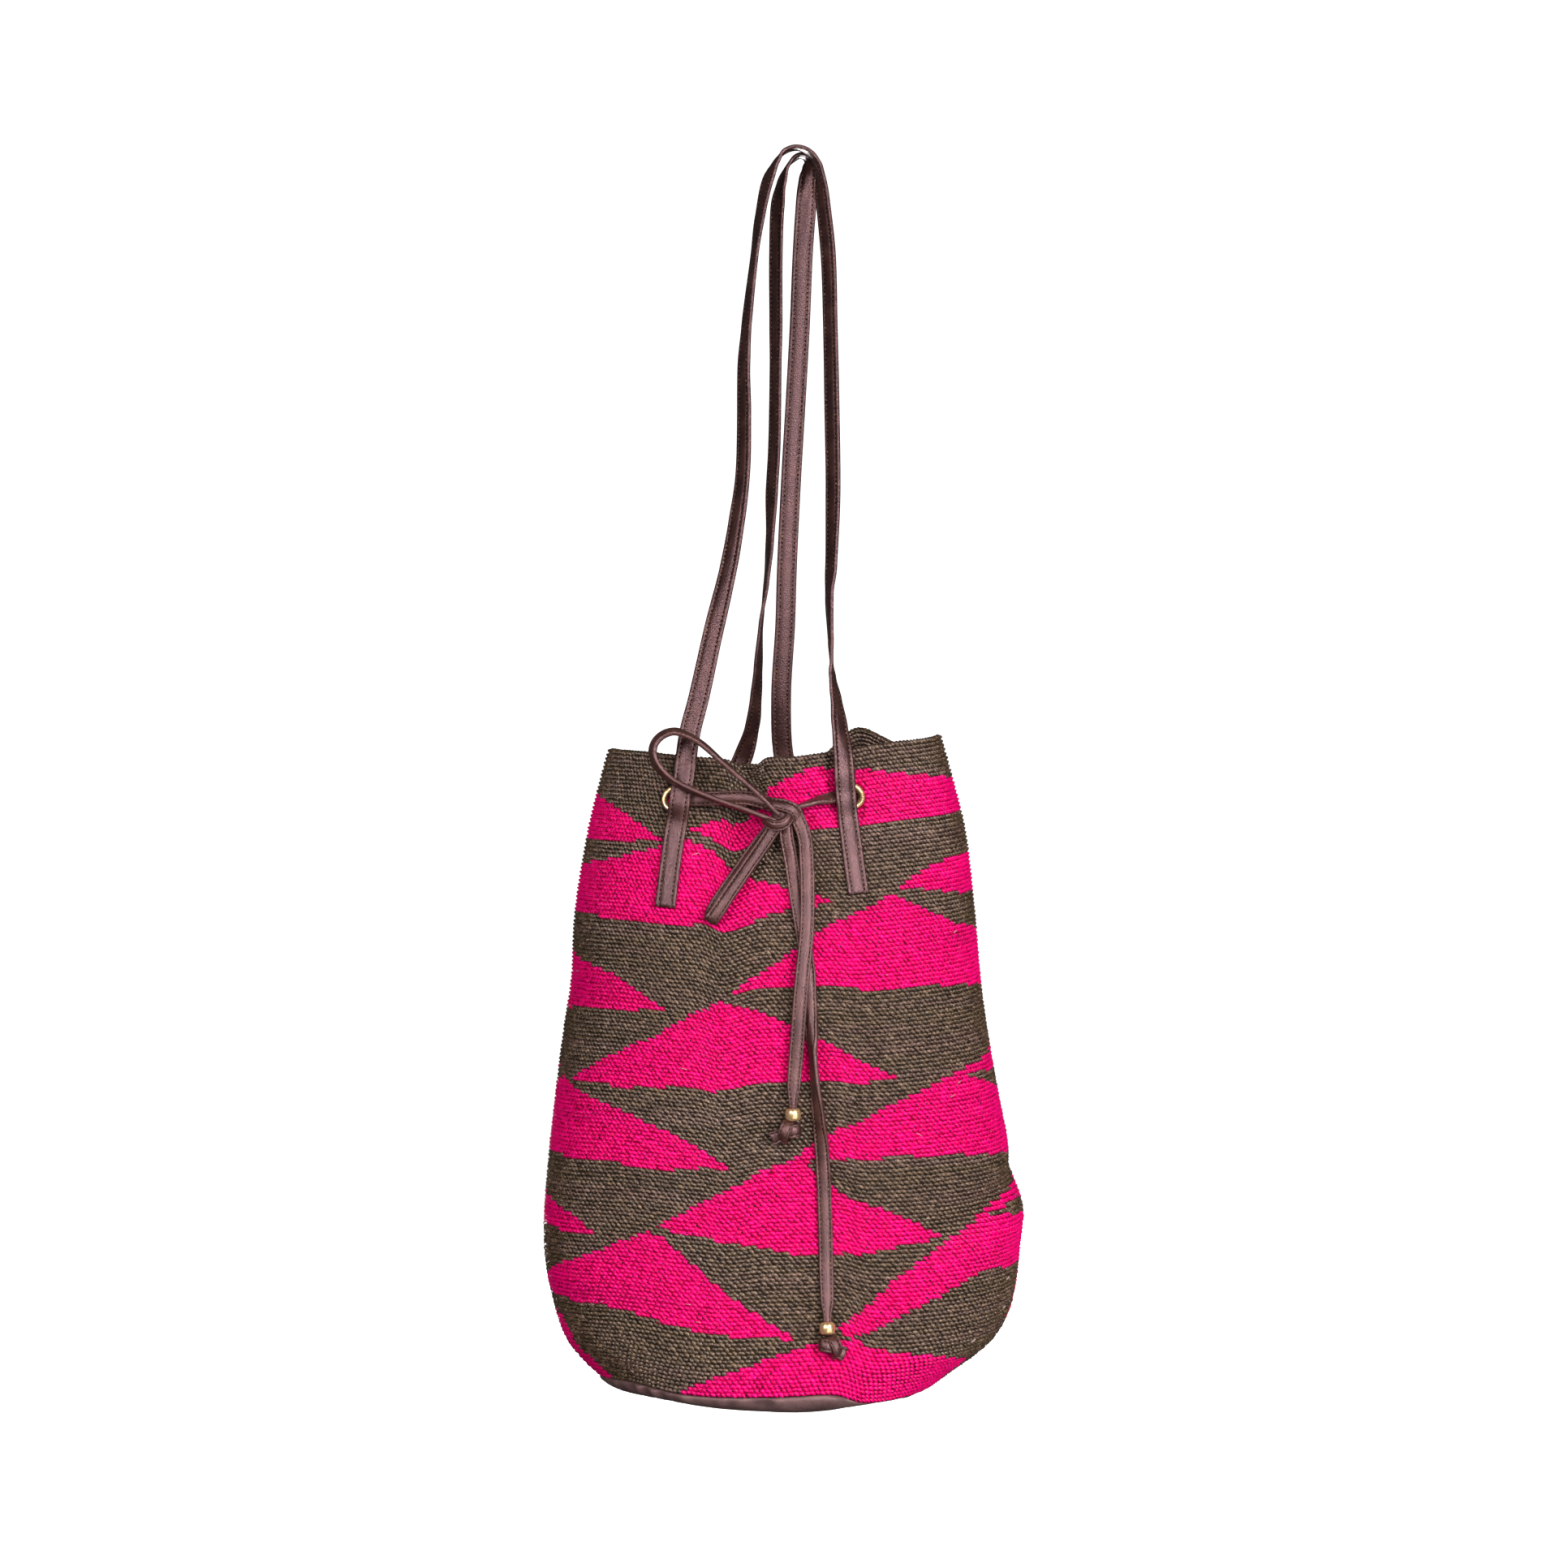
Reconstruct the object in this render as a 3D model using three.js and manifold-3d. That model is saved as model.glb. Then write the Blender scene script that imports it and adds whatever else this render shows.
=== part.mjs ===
// Sisal tote bag: a crocheted bucket with a leather base, two leather straps, and a drawstring tied in a bow.
// Millimetres. +Z is up and the front faces -Y. The origin is the middle of the peg that the straps hang on.
// Heights are given as "down", the distance below the peg. Angles go round the bag from 0 at the front,
// through 90 on the right, to 180 at the back.
import * as THREE from "three";
import { mergeVertices } from "three/addons/utils/BufferGeometryUtils.js";
import Module from "manifold-3d";

const wasm = await Module();
wasm.setup();

// Driving sizes
const GAP = 0.4; // clearance between pieces that touch
const WALL = 2.6; // thickness of the crocheted sisal
const BASE_LEATHER = 2.2;
const BASE_DOWN = 694; // underside of the base at its edge
const BASE_SAG = 1.5; // how far the middle of the base hangs below its edge
const BASE_ROUND = 9; // how far the base's rounded edge reaches in
const STRAP = { width: 12, thickness: 2 };
const STRING = { width: 8, thickness: 2.4 };
const SQUEEZED = { eyelet: 6.4, bead: 3.6 }; // width of the string inside an eyelet and a bead
const EYELET = { flange: 7.6, barrel: 5.9, hole: 5.2, clinch: 7, proud: 1.7, sides: 12 };
const EYELET_SEAT = { outside: 0.5, inside: 1.2 }; // clearance to the curved wall under each flange
const BEAD = { radius: 4.3, shoulder: 3.6, hole: 2.5, height: 7.4, sides: 12 };
const BOW_KNOT = { x: -9.7, down: 371, lift: 7.6, half: [9.5, 6.5, 10.5] };
const WALL_COLUMNS = 66;
const WALL_ROWS = 20;
const FRONT = 0;
const BACK = 180;

const table = (columns, rows) =>
  rows.map((row) => Object.fromEntries(columns.map((name, i) => [name, row[i]])));

// Level sections of the wall: where the middle lies in X, the half width to each side, the depth to the
// front and to the back of the middle, and how square the oval is (2 is an ellipse).
const SECTIONS = table(
  ["down", "middle", "side", "front", "back", "square"],
  [
    [318, -13, 91, 58, 54, 2.5],
    [345, -13, 98.5, 61, 59.5, 2.5],
    [362, -13, 103, 66, 63.8, 2.5],
    [382, -13, 107.5, 73, 68.8, 2.4],
    [421, -14, 113, 82, 78, 2.3],
    [475, -14, 118, 88, 86, 2.2],
    [525, -13, 125, 89, 88, 2.2],
    [560, -11.5, 130.5, 88, 88, 2.2],
    [595, -10, 135, 89, 89, 2.2],
    [622, -10, 135, 91, 91, 2.2],
    [650, -9, 130.5, 96, 96, 2.1],
    [667, -10, 123.5, 100, 100, 2.1],
    [677, -12, 114.3, 102, 102, 2],
    [686, -14, 102.5, 103.5, 103.5, 2],
    [692, -14, 93.5, 104, 104, 2],
  ],
);

// The top edge of the wall, which dips in the front fold and peaks at the back on the right.
const RIM = table(
  ["angle", "down"],
  [
    [-180, 342],
    [-150, 342],
    [-120, 338],
    [-90, 334],
    [-60, 336],
    [-40, 339],
    [-27, 341],
    [-19, 347],
    [-6, 340],
    [10, 339],
    [35, 335],
    [60, 330],
    [90, 326],
    [118, 331],
    [139, 321],
    [156, 338],
  ],
);

// How much of the leather base shows under the seam.
const REVEAL = table(
  ["angle", "height"],
  [
    [-150, 6],
    [-115, 5],
    [-90, 2.5],
    [-70, 4],
    [-45, 7.5],
    [-28, 6],
    [0, 8],
    [19, 8.5],
    [29, 3],
    [45, 2],
    [70, 2.5],
    [90, 4],
    [120, 6],
  ],
);

// Upright folds from the gathered rim: each leans by degrees in 100 mm, is full down to one height, and
// has faded out at another. A negative push goes in.
const FOLDS = table(
  ["angle", "lean", "spread", "push", "full", "gone"],
  [
    [-19, 0, 7.5, -14, 345, 445],
    [12, 2, 9, 6, 345, 430],
    [-46, 0, 8, 3.5, 345, 420],
    [52, 0, 10, -4, 340, 420],
    [-171, 0, 8.5, -11, 345, 450],
    [139, 0, 8, 5, 340, 420],
    [-125, 0, 11, 4, 340, 430],
  ],
);

// Lying creases and dents: slope is the fall in mm for each degree round the bag, reach is in degrees.
const CREASES = table(
  ["angle", "down", "slope", "reach", "spread", "push"],
  [
    [69, 588, -0.7, 17, 8, -5.5],
    [69, 606, -0.7, 18, 10, 3.5],
    [-24, 428, 0, 7, 15, -3],
    [-75, 470, 0.5, 14, 14, -2],
    [150, 560, 0.6, 20, 12, -3],
    [-140, 610, -0.5, 20, 12, -3],
  ],
);

const EYELETS = table(
  ["name", "side", "x", "down"],
  [
    ["eyelet_front_left", FRONT, -68.9, 362.4],
    ["eyelet_front_right", FRONT, 28.4, 360.6],
    ["eyelet_back_right", BACK, 1, 361],
    ["eyelet_back_left", BACK, -45, 361],
  ],
);

// The sewn ends of the straps on the wall, from the end up. Lift is from the wall to the strap's middle.
const SEWN = ["x", "down", "lift"];
const FRONT_LEFT_END = table(SEWN, [
  [-74, 421.5, 1.7],
  [-71.5, 400, 1.7],
  [-69, 382, 1.8],
  [-67.6, 374, 3],
  [-66.3, 364, 7.8],
  [-64, 350, 8.4],
]);
const FRONT_RIGHT_END = table(SEWN, [
  [32, 414, 1.7],
  [29.5, 396, 1.7],
  [27.3, 379, 1.8],
  [26.4, 372, 3],
  [25.3, 361, 7.8],
  [24.6, 350, 8.2],
]);
const BACK_LEFT_END = table(SEWN, [
  [-52, 424, 1.8],
  [-49.5, 400, 1.8],
  [-47.5, 381, 1.9],
  [-46.5, 373.5, 3],
  [-44, 362, 7.8],
  [-40, 352, 8.6],
]);
const BACK_RIGHT_END = table(SEWN, [
  [6, 422, 1.8],
  [4, 400, 1.8],
  [2, 381, 1.9],
  [1.2, 373.5, 3],
  [-1, 362, 7.8],
  [-4.5, 352, 8.6],
]);

// The free runs of the straps, from the left end over the peg to the right end. Face is the way round the
// compass that the outer side looks, and tilt is how far it looks up.
const RUN = ["x", "y", "down", "face", "tilt"];
const FRONT_RUN = table(RUN, [
  [-60.9, -62.5, 326, -8, 0],
  [-56, -58, 306, -14, 0],
  [-48.3, -51, 270, -22, 0],
  [-39.8, -44.5, 233, -36, 0],
  [-35.5, -40, 208, -42, 0],
  [-32, -35.5, 180, -50, 0],
  [-31.3, -30, 147, -52, 0],
  [-31.5, -25, 118, -57, 0],
  [-30, -21.3, 94, -65, 0],
  [-25.5, -14.6, 53, -72, 0],
  [-22.5, -11, 31, -64, 0],
  [-17.9, -7.5, 9, -58, 15],
  [-13.4, -6.5, -1, -70, 45],
  [-9, -6.3, -7, -85, 65],
  [-2.3, -6.3, -9.4, 0, 88],
  [4.6, -6.3, -7.6, 90, 62],
  [8.8, -6.5, -2.9, 100, 35],
  [11.1, -6.8, 3.6, 110, 15],
  [13.2, -9.4, 21, 126, 0],
  [16.3, -14.6, 53, 130, 0],
  [17.4, -21.3, 94, 128, 0],
  [18.2, -29, 142, 130, 0],
  [18.7, -37, 189, 129, 0],
  [17.5, -44.5, 233, 118, 0],
  [16.5, -47, 249, 106, 0],
  [17.2, -51, 273, 97, 0],
  [17.6, -53.5, 285, 90, 0],
  [18.1, -55.5, 294, 76, 0],
  [20, -58.5, 306, 62, 0],
  [22, -62.5, 322, 44, 0],
  [23.9, -67, 338, 26, 0],
]);
const BACK_RUN = table(RUN, [
  [-33.6, 68, 339, -160, 0],
  [-27.5, 62, 319, -132, 0],
  [-25.4, 58, 302, -120, 0],
  [-24.1, 54, 285, -110, 0],
  [-22.4, 49.6, 260, -95, 0],
  [-19.1, 45.5, 235, -82, 0],
  [-17.1, 41.7, 211, -72, 0],
  [-15.9, 37, 182, -58, 0],
  [-14.5, 33, 158, -58, 0],
  [-13.7, 25, 111, -60, 0],
  [-13.5, 21.3, 87, -55, 0],
  [-13.5, 14.6, 48, -54, 0],
  [-12.5, 10, 21, -52, 0],
  [-10.2, 7.4, 8, -65, 15],
  [-6.9, 6.8, -1.2, -80, 40],
  [-2.4, 6.8, -6.3, -90, 75],
  [1.6, 7, -7.7, 90, 85],
  [5, 7.6, -5.5, 100, 50],
  [6, 8.6, -0.5, 130, 15],
  [5, 9.8, 6, 152, 0],
  [3.9, 10.8, 20, 180, 0],
  [2, 15, 48, -168, 0],
  [0.4, 21.3, 87, -168, 0],
  [-2.2, 29, 134, -168, 0],
  [-4.5, 35.4, 173, -168, 0],
  [-7.1, 44.3, 227, -168, 0],
  [-8.1, 49.6, 260, -168, 0],
  [-10.5, 57, 302, -172, 0],
  [-9.2, 66, 336, 180, 0],
]);

// The string between the bow and the front eyelets.
const BOW_LEFT_RUN = table(RUN, [
  [-12, -74.6, 364, 0, 0],
  [-29, -72.5, 361.6, 0, 0],
  [-45, -69.6, 361.8, -6, 0],
]);
const BOW_RIGHT_RUN = table(RUN, [
  [18.5, -71.2, 361.8, 12, 0],
  [13, -73.4, 362.4, 8, 40],
  [8, -75.8, 363.5, 0, 80],
  [2, -77.6, 365.5, 0, 88],
  [-5, -78, 367, 0, 88],
]);

// The bow's upper loop stands edge on to the front.
const UPPER_LOOP = table(
  ["x", "y", "down"],
  [
    [-12.5, -81.5, 368.5],
    [-19, -81.5, 363],
    [-26.5, -81, 356],
    [-42, -79.5, 342.4],
    [-54.4, -78, 331.5],
    [-62.4, -77.5, 327],
    [-69, -77, 325.1],
    [-75.7, -77, 327.3],
    [-80, -77, 332.2],
    [-80.6, -77, 338.4],
    [-77.5, -77, 345],
    [-70, -77.5, 352],
    [-58.9, -78.5, 357.5],
    [-42, -80, 364],
    [-29.2, -81, 368.3],
    [-20, -81.5, 371.8],
    [-13, -81.5, 374],
  ],
);

// The lower loop lies flat against the wall, one layer over the other: side is 1 where its outer side looks
// out, 0 at the tip, and -1 where it looks in.
const LOWER_LOOP = table(
  ["x", "down", "lift", "side"],
  [
    [-13.5, 377, 8.4, 1],
    [-20, 387, 7.4, 1],
    [-29, 400, 7.2, 1],
    [-38, 413, 7, 1],
    [-45, 423.5, 6.2, 1],
    [-48.5, 429, 4.2, 0],
    [-45, 424, 2.2, -1],
    [-38, 413.4, 2, -1],
    [-29, 400.4, 2, -1],
    [-21, 388.5, 2.2, -1],
    [-13, 376.5, 4.2, -1],
  ],
);

// The hanging tails. Roll turns the string about its own length, from flat on the wall to edge on.
const HANGING = ["x", "down", "lift", "roll", "width"];
const SHORT_TAIL = table(HANGING, [
  [-2.5, 370, 8.5, 0, 8],
  [2.2, 382, 7.4, 0, 8],
  [3.5, 395, 6.2, 0, 8],
  [4, 417, 5.5, 0, 8],
  [3.5, 435, 5.5, 0, 8],
  [1.3, 457, 5.5, 0, 8],
  [-0.6, 479, 5.2, 0, 8],
  [-2.2, 501, 4.2, 0, 8],
  [-3.5, 518, 4.6, 0, 7.4],
  [-3.9, 527, 5.2, 0, 3.8],
  [-3.9, 533, 5.2, 0, SQUEEZED.bead],
  [-3.9, 537, 5.2, 0, SQUEEZED.bead],
]);
const LONG_TAIL = table(HANGING, [
  [-8, 376, 6.6, 0, 8],
  [-7, 384.5, 5, 0, 8],
  [-4.8, 396, 2.6, 0, 8],
  [-1.7, 417, 1.8, 0, 8],
  [1.3, 435, 1.8, 0, 8],
  [4.4, 457, 1.8, 0, 8],
  [5.2, 475, 2.4, -10, 8],
  [6.2, 488, 4.1, -40, 8],
  [6.8, 500, 4.8, -75, 8],
  [7.9, 514, 4.8, -72, 8],
  [10.2, 536, 4.3, -45, 8],
  [11.9, 554, 2.8, -15, 8],
  [13.2, 580, 1.8, 0, 8],
  [14.1, 616, 1.8, 0, 8],
  [14.5, 633, 3.8, 0, 7.4],
  [14.6, 642, 5.2, 0, 3.8],
  [14.6, 648, 5.2, 0, SQUEEZED.bead],
  [14.6, 651.8, 5.2, 0, SQUEEZED.bead],
]);
const TAIL_ENDS = table(
  ["name", "x", "down", "lift", "knotX", "knotDown", "stubX", "stubDown"],
  [
    ["short", -3.9, 533, 5.2, -6, 542.3, -16.5, 547.5],
    ["long", 14.6, 648, 5.2, 17, 657.3, 25.5, 661],
  ],
);
const END_KNOT_HALF = [7, 4.6, 4.8];

const SISAL = new THREE.MeshStandardMaterial({ color: 0xc80a5e, roughness: 0.92, metalness: 0 });
const LEATHER = new THREE.MeshStandardMaterial({ color: 0x3a2523, roughness: 0.5, metalness: 0 });
const GOLD = new THREE.MeshStandardMaterial({ color: 0xd9b777, roughness: 0.25, metalness: 1 });

const vector = (x, y, z) => new THREE.Vector3(x, y, z);

// A smooth curve through one column of a table, ordered by another.
function through(rows, key, name, at) {
  const last = rows.length - 2;
  let i = 0;
  while (i < last && rows[i + 1][key] < at) i += 1;
  const slope = (k) => {
    const before = rows[Math.max(k - 1, 0)];
    const after = rows[Math.min(k + 1, last + 1)];
    return (after[name] - before[name]) / (after[key] - before[key]);
  };
  const span = rows[i + 1][key] - rows[i][key];
  const t = THREE.MathUtils.clamp((at - rows[i][key]) / span, 0, 1);
  const near = (1 + 2 * t) * (1 - t) ** 2 * rows[i][name] + t * (1 - t) ** 2 * span * slope(i);
  const far = t * t * (3 - 2 * t) * rows[i + 1][name] + t * t * (t - 1) * span * slope(i + 1);
  return near + far;
}

// The same angle between -180 and 180.
const wrapped = (angle) => angle - 360 * Math.floor((angle + 180) / 360);

// A table that goes once round, with its ends repeated so that a curve through it closes.
function ringTable(rows) {
  const shifted = (row, turn) => ({ ...row, angle: row.angle + turn });
  const before = rows.slice(-2).map((row) => shifted(row, -360));
  const after = rows.slice(0, 2).map((row) => shifted(row, 360));
  return [...before, ...rows, ...after];
}
const RIM_RING = ringTable(RIM);
const REVEAL_RING = ringTable(REVEAL);
const rimDown = (angle) => through(RIM_RING, "angle", "down", wrapped(angle));
const seamDown = (angle) => BASE_DOWN - through(REVEAL_RING, "angle", "height", wrapped(angle));

// How far the wall's outside is from its middle at an angle and height.
function wallRadius(angle, down) {
  const turn = THREE.MathUtils.degToRad(angle);
  const side = through(SECTIONS, "down", "side", down);
  const depth = through(SECTIONS, "down", Math.cos(turn) > 0 ? "front" : "back", down);
  const square = through(SECTIONS, "down", "square", down);
  const oval = Math.abs(Math.sin(turn) / side) ** square + Math.abs(Math.cos(turn) / depth) ** square;
  let radius = oval ** (-1 / square);
  for (const fold of FOLDS) {
    const leaning = fold.angle + (fold.lean * (down - fold.full)) / 100;
    const off = wrapped(angle - leaning) / fold.spread;
    const fade = 1 - THREE.MathUtils.smoothstep(down, fold.full, fold.gone);
    radius += fold.push * fade * Math.exp((-off * off) / 2);
  }
  for (const crease of CREASES) {
    const beside = wrapped(angle - crease.angle);
    const above = (down - crease.down - crease.slope * beside) / crease.spread;
    radius += crease.push * Math.exp((-above * above) / 2 - (beside / crease.reach) ** 2 / 2);
  }
  return radius;
}

// A point on the outside of the wall: share is 0 at the rim and 1 at the seam.
function wallPoint(angle, share) {
  const down = THREE.MathUtils.lerp(rimDown(angle), seamDown(angle), share);
  const turn = THREE.MathUtils.degToRad(angle);
  const radius = wallRadius(angle, down);
  const middle = through(SECTIONS, "down", "middle", down);
  return vector(middle + radius * Math.sin(turn), -radius * Math.cos(turn), -down);
}

// The ways round and down the wall at a point, and the way out of it.
function wallFrame(angle, share) {
  const round = wallPoint(angle + 1, share).sub(wallPoint(angle - 1, share)).normalize();
  const fall = wallPoint(angle, share + 0.005).sub(wallPoint(angle, share - 0.005)).normalize();
  const out = fall.clone().cross(round).normalize();
  return { round, fall, out };
}

function offWall(angle, share, lift) {
  return wallPoint(angle, share).addScaledVector(wallFrame(angle, share).out, lift);
}

// The angle and share of the place on the front or back of the wall that has a given x and height.
function findOnWall(side, x, down) {
  const shareAt = (angle) => (down - rimDown(angle)) / (seamDown(angle) - rimDown(angle));
  const grows = side === FRONT ? 1 : -1;
  let low = side - 75;
  let high = side + 75;
  for (let i = 0; i < 40; i += 1) {
    const middle = (low + high) / 2;
    if ((wallPoint(middle, shareAt(middle)).x - x) * grows < 0) low = middle;
    else high = middle;
  }
  return { angle: low, share: shareAt(low) };
}

// A station of a strap or string that lies along the wall: the row's x and height are those of its middle.
function onWall(side, row) {
  let { x, down } = row;
  for (let i = 0; i < 5; i += 1) {
    const found = findOnWall(side, x, down);
    const place = offWall(found.angle, found.share, row.lift);
    x += row.x - place.x;
    down += row.down + place.z;
  }
  const { angle, share } = findOnWall(side, x, down);
  const { round, fall, out } = wallFrame(angle, share);
  const roll = THREE.MathUtils.degToRad(row.roll ?? 0);
  const face = out.clone().multiplyScalar(Math.cos(roll)).addScaledVector(round, Math.sin(roll));
  return { place: offWall(angle, share, row.lift), face, fall, width: row.width };
}

// A station of a free run.
function inAir(row) {
  const face = THREE.MathUtils.degToRad(row.face);
  const tilt = THREE.MathUtils.degToRad(row.tilt);
  const level = Math.cos(tilt);
  return {
    place: vector(row.x, row.y, -row.down),
    face: vector(Math.sin(face) * level, -Math.cos(face) * level, Math.sin(tilt)),
  };
}

// A closed skin over rings of points. It either joins its last ring to its first or closes both ends.
function loft(rings, endless = false) {
  const count = rings[0].length;
  const points = rings.flat();
  const faces = [];
  const joins = endless ? rings.length : rings.length - 1;
  for (let i = 0; i < joins; i += 1) {
    for (let j = 0; j < count; j += 1) {
      const next = (j + 1) % count;
      const below = ((i + 1) % rings.length) * count;
      const here = i * count;
      faces.push(here + j, below + j, here + next, here + next, below + j, below + next);
    }
  }
  const middleOf = (ring) => ring.reduce((sum, p) => sum.add(p), vector(0, 0, 0)).divideScalar(count);
  if (!endless) {
    const last = (rings.length - 1) * count;
    const first = points.push(middleOf(rings[0])) - 1;
    const end = points.push(middleOf(rings[rings.length - 1])) - 1;
    for (let j = 0; j < count; j += 1) {
      const next = (j + 1) % count;
      faces.push(first, j, next, last + j, end, last + next);
    }
  }
  const geometry = new THREE.BufferGeometry().setFromPoints(points);
  geometry.setIndex(faces);
  geometry.computeVertexNormals();
  return geometry;
}

// The outlines of a strap and of the softer string, as shares of their half width and half thickness.
const STRAP_OUTLINE = [
  [1, 1],
  [-1, 1],
  [-1, -1],
  [1, -1],
];
const STRING_OUTLINE = [
  [1, 0.5],
  [0.8, 1],
  [-0.8, 1],
  [-1, 0.5],
  [-1, -0.5],
  [-0.8, -1],
  [0.8, -1],
  [1, -0.5],
];

// A flat strip through stations, each with a place, the way that its outer side looks, and its width.
function strip(stations, size, outline, steps) {
  const route = new THREE.CatmullRomCurve3(stations.map((station) => station.place));
  const spans = stations.length - 1;
  const rings = [];
  for (let i = 0; i <= spans * steps; i += 1) {
    const at = Math.min(Math.floor(i / steps), spans - 1);
    const share = i / steps - at;
    const [from, to] = [stations[at], stations[at + 1]];
    const place = route.getPoint(i / (spans * steps));
    const ahead = route.getTangent(i / (spans * steps));
    const face = from.face.clone().lerp(to.face, share);
    const across = ahead.clone().cross(face).normalize();
    const out = across.clone().cross(ahead);
    const half = THREE.MathUtils.lerp(from.width ?? size.width, to.width ?? size.width, share) / 2;
    const ring = outline.map(([u, v]) =>
      place
        .clone()
        .addScaledVector(across, u * half)
        .addScaledVector(out, (v * size.thickness) / 2),
    );
    rings.push(ring);
  }
  return loft(rings);
}

// Closed geometry as a solid that can be joined and cut, and a solid as geometry.
function solidOf(geometry) {
  const bare = geometry.clone();
  bare.deleteAttribute("normal");
  bare.deleteAttribute("uv");
  const merged = mergeVertices(bare, 1e-4);
  const vertProperties = new Float32Array(merged.attributes.position.array);
  const triVerts = new Uint32Array(merged.index.array);
  return new wasm.Manifold(new wasm.Mesh({ numProp: 3, vertProperties, triVerts }));
}

function geometryOf(solid) {
  const { vertProperties, triVerts } = solid.getMesh();
  const geometry = new THREE.BufferGeometry();
  geometry.setAttribute("position", new THREE.BufferAttribute(vertProperties, 3));
  geometry.setIndex(new THREE.BufferAttribute(triVerts, 1));
  geometry.computeVertexNormals();
  return geometry;
}

const bag = new THREE.Group();
function addPiece(name, geometry, material) {
  const mesh = new THREE.Mesh(geometry, material);
  mesh.name = name;
  bag.add(mesh);
  return mesh;
}

// Geometry turned so that its own Y axis points a given way, and moved to a place.
function placed(geometry, way, place) {
  const turn = new THREE.Quaternion().setFromUnitVectors(vector(0, 1, 0), way);
  return geometry.applyQuaternion(turn).translate(place.x, place.y, place.z);
}

const lathe = (outline, sides) =>
  new THREE.LatheGeometry(
    [...outline, outline[0]].map(([radius, height]) => new THREE.Vector2(radius, height)),
    sides,
  );

const columnAngles = Array.from({ length: WALL_COLUMNS }, (_, i) => -180 + (360 * i) / WALL_COLUMNS);

// Eyelets: each is a flange outside, a barrel through the wall, and a clinched flange inside.
const eyelets = EYELETS.map((row) => {
  const { angle, share } = findOnWall(row.side, row.x, row.down);
  return { ...row, centre: wallPoint(angle, share), ...wallFrame(angle, share) };
});

function addEyelet(eyelet) {
  const inside = -WALL - EYELET_SEAT.inside;
  const seat = EYELET_SEAT.outside;
  const clinched = inside - 0.7;
  const outline = [
    [EYELET.hole, clinched],
    [EYELET.clinch, clinched],
    [EYELET.clinch, inside],
    [EYELET.barrel, inside],
    [EYELET.barrel, seat],
    [EYELET.flange, seat],
    [EYELET.flange - 0.2, EYELET.proud - 0.6],
    [(EYELET.flange + EYELET.hole) / 2, EYELET.proud],
    [EYELET.hole, EYELET.proud - 0.6],
  ];
  const geometry = placed(lathe(outline, EYELET.sides), eyelet.out, eyelet.centre);
  addPiece(eyelet.name, geometry, GOLD);
}

function addBody() {
  const rings = [];
  for (let i = 0; i <= WALL_ROWS; i += 1) {
    rings.push(columnAngles.map((angle) => offWall(angle, i / WALL_ROWS, 0)));
  }
  for (let i = WALL_ROWS; i >= 0; i -= 1) {
    rings.push(columnAngles.map((angle) => offWall(angle, i / WALL_ROWS, -WALL)));
  }
  let wall = solidOf(loft(rings, true));
  const reach = 5 * WALL;
  for (const eyelet of eyelets) {
    const punch = new THREE.CylinderGeometry(EYELET.barrel + GAP, EYELET.barrel + GAP, reach, EYELET.sides);
    wall = wall.subtract(solidOf(placed(punch, eyelet.out, eyelet.centre)));
  }
  addPiece("bag_body", geometryOf(wall), SISAL);
}

// The base: a dish whose upturned edge meets the wall's lower edge.
function addBase() {
  const hub = vector(through(SECTIONS, "down", "middle", BASE_DOWN), 0, 0);
  const atSeam = (angle, lift) => offWall(angle, 1, lift).addScaledVector(wallFrame(angle, 1).fall, GAP);
  const inset = (angle, distance, down) => {
    const edge = wallPoint(angle, 1).setZ(0).sub(hub);
    return edge.setLength(edge.length() - distance).add(hub).setZ(-down);
  };
  const shrunk = (angle, share, down) =>
    wallPoint(angle, 1).setZ(0).sub(hub).multiplyScalar(share).add(hub).setZ(-down);
  const ring = (make) => columnAngles.map(make);
  const belly = (angle) => THREE.MathUtils.lerp(seamDown(angle), BASE_DOWN, 0.6);
  const top = BASE_DOWN - BASE_LEATHER;
  const rings = [
    ring((angle) => shrunk(angle, 0.5, top + BASE_SAG)),
    ring((angle) => inset(angle, BASE_ROUND + 1.2, top)),
    ring((angle) => atSeam(angle, -WALL)),
    ring((angle) => atSeam(angle, 0)),
    ring((angle) => inset(angle, BASE_ROUND * 0.28, belly(angle))),
    ring((angle) => inset(angle, BASE_ROUND, BASE_DOWN)),
    ring((angle) => shrunk(angle, 0.5, BASE_DOWN + BASE_SAG)),
  ];
  addPiece("base", loft(rings), LEATHER);
}

function addStrap(name, side, leftEnd, run, rightEnd) {
  const up = leftEnd.map((row) => onWall(side, row));
  const down = rightEnd.map((row) => onWall(side, row)).reverse();
  const stations = [...up, ...run.map(inAir), ...down];
  addPiece(name, strip(stations, STRAP, STRAP_OUTLINE, 1), LEATHER);
}

// The string's way from outside the wall in through an eyelet, coming from the given side of it.
const THREADED = table(
  ["along", "out", "squeezed"],
  [
    [9, 3.5, false],
    [3.4, 3.4, true],
    [0.9, 1.2, true],
    [0, -2, true],
    [0, -7, true],
  ],
);
function threaded(eyelet, way) {
  const aside = eyelet.round.clone().multiplyScalar(way);
  const outside = { 0: eyelet.out, 1: eyelet.out };
  return THREADED.map((row, i) => ({
    place: eyelet.centre.clone().addScaledVector(aside, row.along).addScaledVector(eyelet.out, row.out),
    face: outside[i] ?? (i === 2 ? eyelet.out.clone().sub(aside).normalize() : aside.clone().negate()),
    width: row.squeezed ? SQUEEZED.eyelet : STRING.width,
  }));
}

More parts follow.
